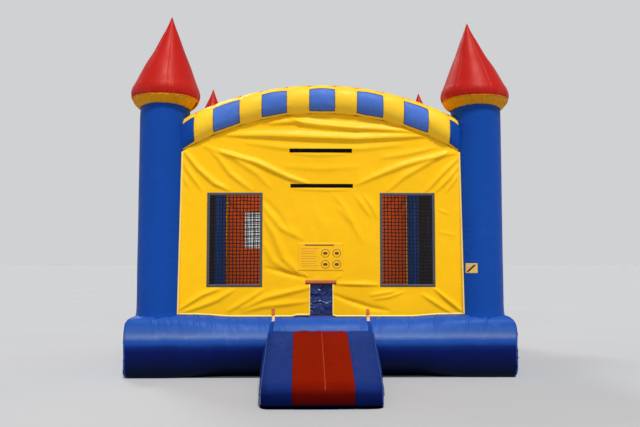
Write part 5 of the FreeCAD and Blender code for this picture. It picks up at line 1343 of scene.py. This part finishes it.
# sides: from the rim down to the ground
m = np.linspace(0, 1, 26)
for sgn, row in ((-1, 0), (1, -1)):
    rim = T[row]
    ground_y = -(RY0 + (RYF - SR - 0.02 - RY0) * (np.arange(len(qs)) / (len(qs) - 1)))
    Rm, Mm = np.meshgrid(np.arange(len(qs)), m, indexing="ij")
    edges_ = ramp_sides(-ground_y - RY0)[0 if sgn < 0 else 1]
    lowp = np.stack([RCX + edges_ - sgn * (0.018 + 0.052 * np.linspace(0, 1, len(qs)) ** 2), ground_y, np.full(len(qs), 0.003)], -1)
    P = rim[:, None] * (1 - Mm[..., None]) + lowp[:, None] * Mm[..., None]
    bulge = (0.064 - 0.042 * Rm / len(qs)) * np.sin(PI * np.clip(Mm, 0, 1)) ** 0.8 * smooth(0, 8, Rm) * smooth(len(qs) - 1, len(qs) - 12, Rm)
    wr = 0.006 * np.exp(-Mm * 4) * (ridge(P[..., 1] / 0.085, Mm * 2, 0, 220 + sgn) - 0.3) + 0.003 * fbm(P[..., 1] / 0.2, P[..., 2] / 0.2, 0, 223, 2)
    P[..., 0] += sgn * (bulge + wr * np.minimum(1, Mm * 12))
    verts.append(P.reshape(-1, 3))
    faces.append(grid_faces(len(qs), len(m), start=base))
    base += P[..., 0].size
    if sgn < 0:
        left_low = P[:, -1]
    else:
        right_low = P[:, -1]
# rear face
rear_top = T[:, 0]
Im, Mm = np.meshgrid(np.arange(len(xk)), m, indexing="ij")
lowx = RCX + np.clip(xk * RW, -(RW - 0.022), RW - 0.022)
lowp = np.stack([lowx, np.full(len(xk), -RY0), np.full(len(xk), 0.003)], -1)
P = rear_top[:, None] * (1 - Mm[..., None]) + lowp[:, None] * Mm[..., None]
verts.append(P.reshape(-1, 3)); faces.append(grid_faces(len(xk), len(m), start=base)); base += P[..., 0].size
# underside
front_low = T[:, -1]
nb = 24
Im, Km = np.meshgrid(np.arange(len(xk)), np.linspace(0, 1, nb), indexing="ij")
P = lowp[:, None] * (1 - Km[..., None]) + front_low[:, None] * Km[..., None]
P[..., 2] = 0.003
verts.append(P.reshape(-1, 3)); faces.append(grid_faces(len(xk), nb, start=base)); base += P[..., 0].size
o = make("ramp_pad", np.vstack(verts), np.concatenate(faces))
ramp = finish_piece(o, "ramp_blue", nodes="ramp_cushion")

tq = np.concatenate([np.linspace(0.004, slope_len - 0.2, 100)[:-1], np.linspace(slope_len - 0.2, Q_END - 0.008, 36)])


def tread_surface(q, v, a=0.0, b=1.0):
    tl, tr = tread_edges(q)
    return ramp_at(tl + (tr - tl) * v, q)


tread = surface_patch("ramp_tread_cloth", tread_surface, tq, np.linspace(0, 1, 72), 0.0006, 0.0020)
finish_piece(tread, "tread_red", nodes="ramp_red_tread")
tp = []
mq = tq[tq < slope_len + 0.02]
tp.append(surface_patch("p", lambda u, v: ramp_at(sum(tread_edges(u)) / 2 + 0.016 + (v - 0.5) * 0.010, u), mq, np.linspace(1, 0, 3), 0.0026, 0.0014, (1, 1)))
tread_tapes = finish_piece(join("tread_seam_tapes", tp), "seam_red")
tp = []
for sgn in (-1, 1):
    tp.append(surface_patch("p", lambda u, v, sgn=sgn: ramp_top(sgn * 0.984 + (v - 0.5) * 0.02, u), tq, np.linspace(1, 0, 3), 0.0006, 0.0022, (1, 1)))
ramp_tapes = finish_piece(join("ramp_seam_tapes", tp), "seam_blue")


# ------------------------------------------------------ straps and tie tabs
def on_front_tube(x, phi):
    """Point on the front tube at the true sideways place x."""
    x, phi = np.broadcast_arrays(np.asarray(x, float), np.asarray(phi, float))
    s = x / 2.2
    for _ in range(5):
        p = tube("front", s, phi)
        s = s * np.where(np.abs(p[..., 0]) > 1e-6, x / p[..., 0], 1.0)
    return tube("front", s, phi)


strap_parts, end_parts = [], []
for x0, zt in ((-0.566, 0.788), (0.552, 0.780)):
    # upright part on the wall, then over the tube's shoulder
    U, V = np.meshgrid(steps([0.706, zt], 0.010), np.linspace(0, 1, 5), indexing="ij")
    P = wall(-1, x0 + (V - 0.5) * 0.040, U)
    P[..., 1] -= 0.0035
    P[..., 1] -= 0.004 * (ridge(U / 0.03, V, 0, 231) - 0.3)
    N = np.zeros_like(P); N[..., 1] = -1
    strap_parts.append(sheet_solid("s", P, N, 0.003, 0, None, np.stack([U, V], -1)))
    p0 = 1.085
    end_parts.append(surface_patch("s", lambda u, v, x0=x0: on_front_tube(x0 + (v - 0.5) * 0.038, 1.09 - u / 0.36),
                                   np.linspace(0.0, 0.088, 12), np.linspace(0, 1, 5), 0.0014, 0.003, (1, 1)))
straps = finish_piece(join("ramp_tie_webbing", strap_parts), "orange", nodes="ramp_tie_straps")
strap_ends = finish_piece(join("ramp_tie_ends", end_parts), "strap_end")

tabs = []
for sgn, xt, xl, xr in ((-1, -0.566, -0.640, -0.566), (1, 0.552, 0.552, 0.624)):
    def tab_surface(u, v, xt=xt, xl=xl, xr=xr):
        # u 0 at the strap, 1 at the ramp's corner
        a = (xt - 0.013) * (1 - u) + xl * u
        b = (xt + 0.013) * (1 - u) + xr * u
        return on_front_tube(a + (b - a) * v, 0.86 - u * 0.66)
    tabs.append(surface_patch("t", tab_surface, np.linspace(0, 1, 28), np.linspace(0, 1, 6), 0.0016, 0.0026, (0.24, 1)))
tabs = finish_piece(join("ramp_tie_tab_cloth", tabs), "tab_blue", nodes="ramp_tie_tabs")

# ------------------------------------------------------------- anchor webbing
parts, pads = [], []
for sx in (-1, 1):
    side = "right" if sx > 0 else "left"
    for sy in (-1, 1):
        yc = sy * 1.79
        run = yc * sx
        # reinforcing patch on the tube
        def pad_surface(u, v, side=side, run=run):
            s = (run + u) / 2.27
            return tube(side, s, v)
        pads.append(surface_patch("a", pad_surface, np.linspace(-0.075, 0.075, 9), np.linspace(-0.86, -0.22, 12), 0.0004, 0.002))
        # loop of webbing round the bar
        ang = np.linspace(-0.15 * PI, 1.75 * PI, 30)
        A, W = np.meshgrid(ang, np.linspace(-0.018, 0.018, 5), indexing="ij")
        r = 0.0058
        Xp = sx * (2.288 - 0.0 + r * np.cos(A)); Zp = 0.168 + r * np.sin(A)
        P = np.stack([Xp, yc + W, Zp], -1)
        N = np.stack([sx * np.cos(A), 0 * A, np.sin(A)], -1)
        parts.append(sheet_solid("a", P, N, 0.0016, 0, None, np.stack([A * r, (W + 0.018) / 0.036], -1)))
        U, W = np.meshgrid(np.linspace(0, 1, 6), np.linspace(-0.018, 0.018, 5), indexing="ij")
        P = np.stack([sx * (2.284 - U * 0.030), yc + W, 0.1735 + U * 0.0], -1)
        N = np.zeros_like(P); N[..., 2] = 1
        parts.append(sheet_solid("a", P, N, 0.0016, 0, None, np.stack([U * 0.03, (W + 0.018) / 0.036], -1)))
loops = finish_piece(join("anchor_loop_webbing", parts), "web_black", nodes="anchor_webbing")
pads = finish_piece(join("anchor_patches", pads), "base_blue")

# ------------------------------------------------------------ sleeve to blower
def sleeve(y, th):
    y, th = np.broadcast_arrays(np.asarray(y, float), np.asarray(th, float))
    zc = spline([2.05, 2.245, 2.6, 2.95, 3.02, 3.06], [0.15, 0.15, 0.150, 0.152, 0.153, 0.153], y)
    r = spline([2.05, 2.245, 2.5, 2.80, 2.95, 3.005, 3.02, 3.04, 3.06], [0.138, 0.138, 0.134, 0.136, 0.128, 0.1155, 0.1140, 0.1160, 0.1200], y)
    pull = np.exp(-((y - 3.02) / 0.12) ** 2)
    r = r + 0.006 * pull * (ridge(th * 2.6, y * 2, 0, 241) - 0.4) * (np.abs(y - 3.02) > 0.02)
    r = r + 0.007 * np.exp(-np.abs(y - 2.26) / 0.10) * (ridge(th * 2.2, y * 2, 0, 243) - 0.4)
    r = r + 0.004 * fbm(np.cos(th) * 1.4, np.sin(th) * 1.4, y / 0.14, 245, 3)
    r = r + 0.004 * ridge(y / 0.11 + 0.4 * np.cos(th), th * 0.6, 0, 247)
    z = zc + r * np.sin(th)
    return np.stack([-1.25 + r * np.cos(th), y, np.maximum(z, 0.006)], -1)


Yg, Tg = np.meshgrid(np.linspace(2.06, 3.056, 150), np.linspace(0, 2 * PI, 84, endpoint=False), indexing="ij")
o = loops_body("sleeve_duct", sleeve(Yg, Tg))
duct = finish_piece(o, "tower_blue", nodes="inflation_sleeve")
strap = surface_patch("sleeve_tie", lambda u, v: sleeve(3.002 + v * 0.038, u / 0.115), np.linspace(0, 2 * PI * 0.115, 110), np.linspace(0, 1, 4)[::-1], 0.0012, 0.0028, flip=True)
tail = []
U, V = np.meshgrid(np.linspace(0, 0.10, 12), np.linspace(0, 1, 4), indexing="ij")
P = np.stack([-1.25 - 0.118 - 0.004 - 0.02 * (U / 0.10) ** 1.5, 3.004 + V * 0.034, 0.16 - U], -1)
N = np.zeros_like(P); N[..., 0] = -1
tail = sheet_solid("s", P, N, 0.0022, 0, None, np.stack([U, V], -1))
o = finish_piece(join("sleeve_tie_webbing", [strap, tail]), "web_black", nodes="sleeve_strap")

# ------------------------------------------------- pieces kept from the frame
KEEP = {
    "anchor_ring_front_left": "steel", "anchor_ring_front_right": "steel", "anchor_ring_rear_left": "steel", "anchor_ring_rear_right": "steel",
    "deflation_zip_tape": "zip_tape", "deflation_zip_slider": "zip_metal", "blower_housing": "blower", "blower_motor": "motor",
    "blower_switch": "switch", "blower_shaft": "steel", "blower_impeller": "impeller", "blower_intake_guard": "steel",
}
for node_name, mat in KEEP.items():
    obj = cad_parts[node_name]
    if not obj.material_slots:
        obj.data.materials.append(M[mat])
    for slot_ in obj.material_slots:
        slot_.material = M[mat]

# --------------------------------------------------------- stage, lights, view
fm = Nodes("studio floor")
co = fm.n("ShaderNodeTexCoord").outputs["Object"]
fm.put(fm.bsdf, Base_Color=fm.mix(fm.range(fm.noise(co, 0.5, 3, 0.5), 0.3, 0.7, 0, 1), (0.468, 0.473, 0.482, 1), (0.484, 0.489, 0.498, 1)))
fm.bsdf.inputs["Roughness"].default_value = 0.95
fm.bsdf.inputs["Specular IOR Level"].default_value = 0.0
mesh = bpy.data.meshes.new("studio_floor")
mesh.from_pydata([(-300, -300, 0), (300, -300, 0), (300, 300, 0), (-300, 300, 0)], [], [(0, 1, 2, 3)])
floor = bpy.data.objects.new("studio_floor", mesh)
bpy.context.scene.collection.objects.link(floor)
floor.data.materials.append(fm.mat)

# pale all round up to 25 degrees, dimmer overhead
world = bpy.data.worlds.new("studio")
bpy.context.scene.world = world
world.use_nodes = True
wt = world.node_tree
bg = wt.nodes["Background"]
tc = wt.nodes.new("ShaderNodeTexCoord")
sp = wt.nodes.new("ShaderNodeSeparateXYZ")
wt.links.new(tc.outputs["Generated"], sp.inputs[0])
mr = wt.nodes.new("ShaderNodeMapRange")
mr.inputs[1].default_value = 0.42
mr.inputs[2].default_value = 0.62
wt.links.new(sp.outputs[2], mr.inputs[0])
mx = wt.nodes.new("ShaderNodeMix")
mx.data_type = "RGBA"
wt.links.new(mr.outputs[0], mx.inputs[0])
mx.inputs[6].default_value = srgb(208, 209, 211)
mx.inputs[7].default_value = (0.20, 0.203, 0.21, 1)
wt.links.new(mx.outputs[2], bg.inputs[0])
bg.inputs[1].default_value = 1.0


def sun(name, towards, power, angle, color=(1, 1, 1)):
    light = bpy.data.lights.new(name, "SUN")
    light.energy = power
    light.angle = math.radians(angle)
    light.color = color
    o = bpy.data.objects.new(name, light)
    o.rotation_euler = Vector(towards).to_track_quat("Z", "Y").to_euler()
    o.location = Vector(towards) * 10
    bpy.context.scene.collection.objects.link(o)
    return o


sun("key", (0.10, -0.52, 0.85), 3.1, 9)
sun("back", (-0.35, 0.62, 0.70), 0.9, 14)

# daylight that a real lining lets through, as one warm lamp under the roof
glow = bpy.data.lights.new("glow", "AREA")
glow.shape = "RECTANGLE"
glow.size, glow.size_y = 1.5, 0.8
glow.energy = 46
glow.color = (1.0, 0.80, 0.58)
glow_obj = bpy.data.objects.new("glow", glow)
glow_obj.location = (0, -0.4, 2.42)
glow_obj.visible_camera = False
glow_obj.rotation_euler = (Vector((0, -0.4, 2.42)) - Vector((0, 2.1, 1.2))).to_track_quat("Z", "Y").to_euler()
bpy.context.scene.collection.objects.link(glow_obj)

cam = bpy.data.cameras.new("camera")
cam.lens = 39.008
cam.sensor_width = 36.0
cam.clip_end = 200
cam_obj = bpy.data.objects.new("camera", cam)
cam_obj.location = (-0.1667, -10.3619, 1.3518)
cam_obj.rotation_euler = (math.radians(90 + 3.8735), 0, math.radians(-1.0508))
bpy.context.scene.collection.objects.link(cam_obj)
bpy.context.scene.camera = cam_obj
bpy.context.scene.view_settings.view_transform = "Standard"
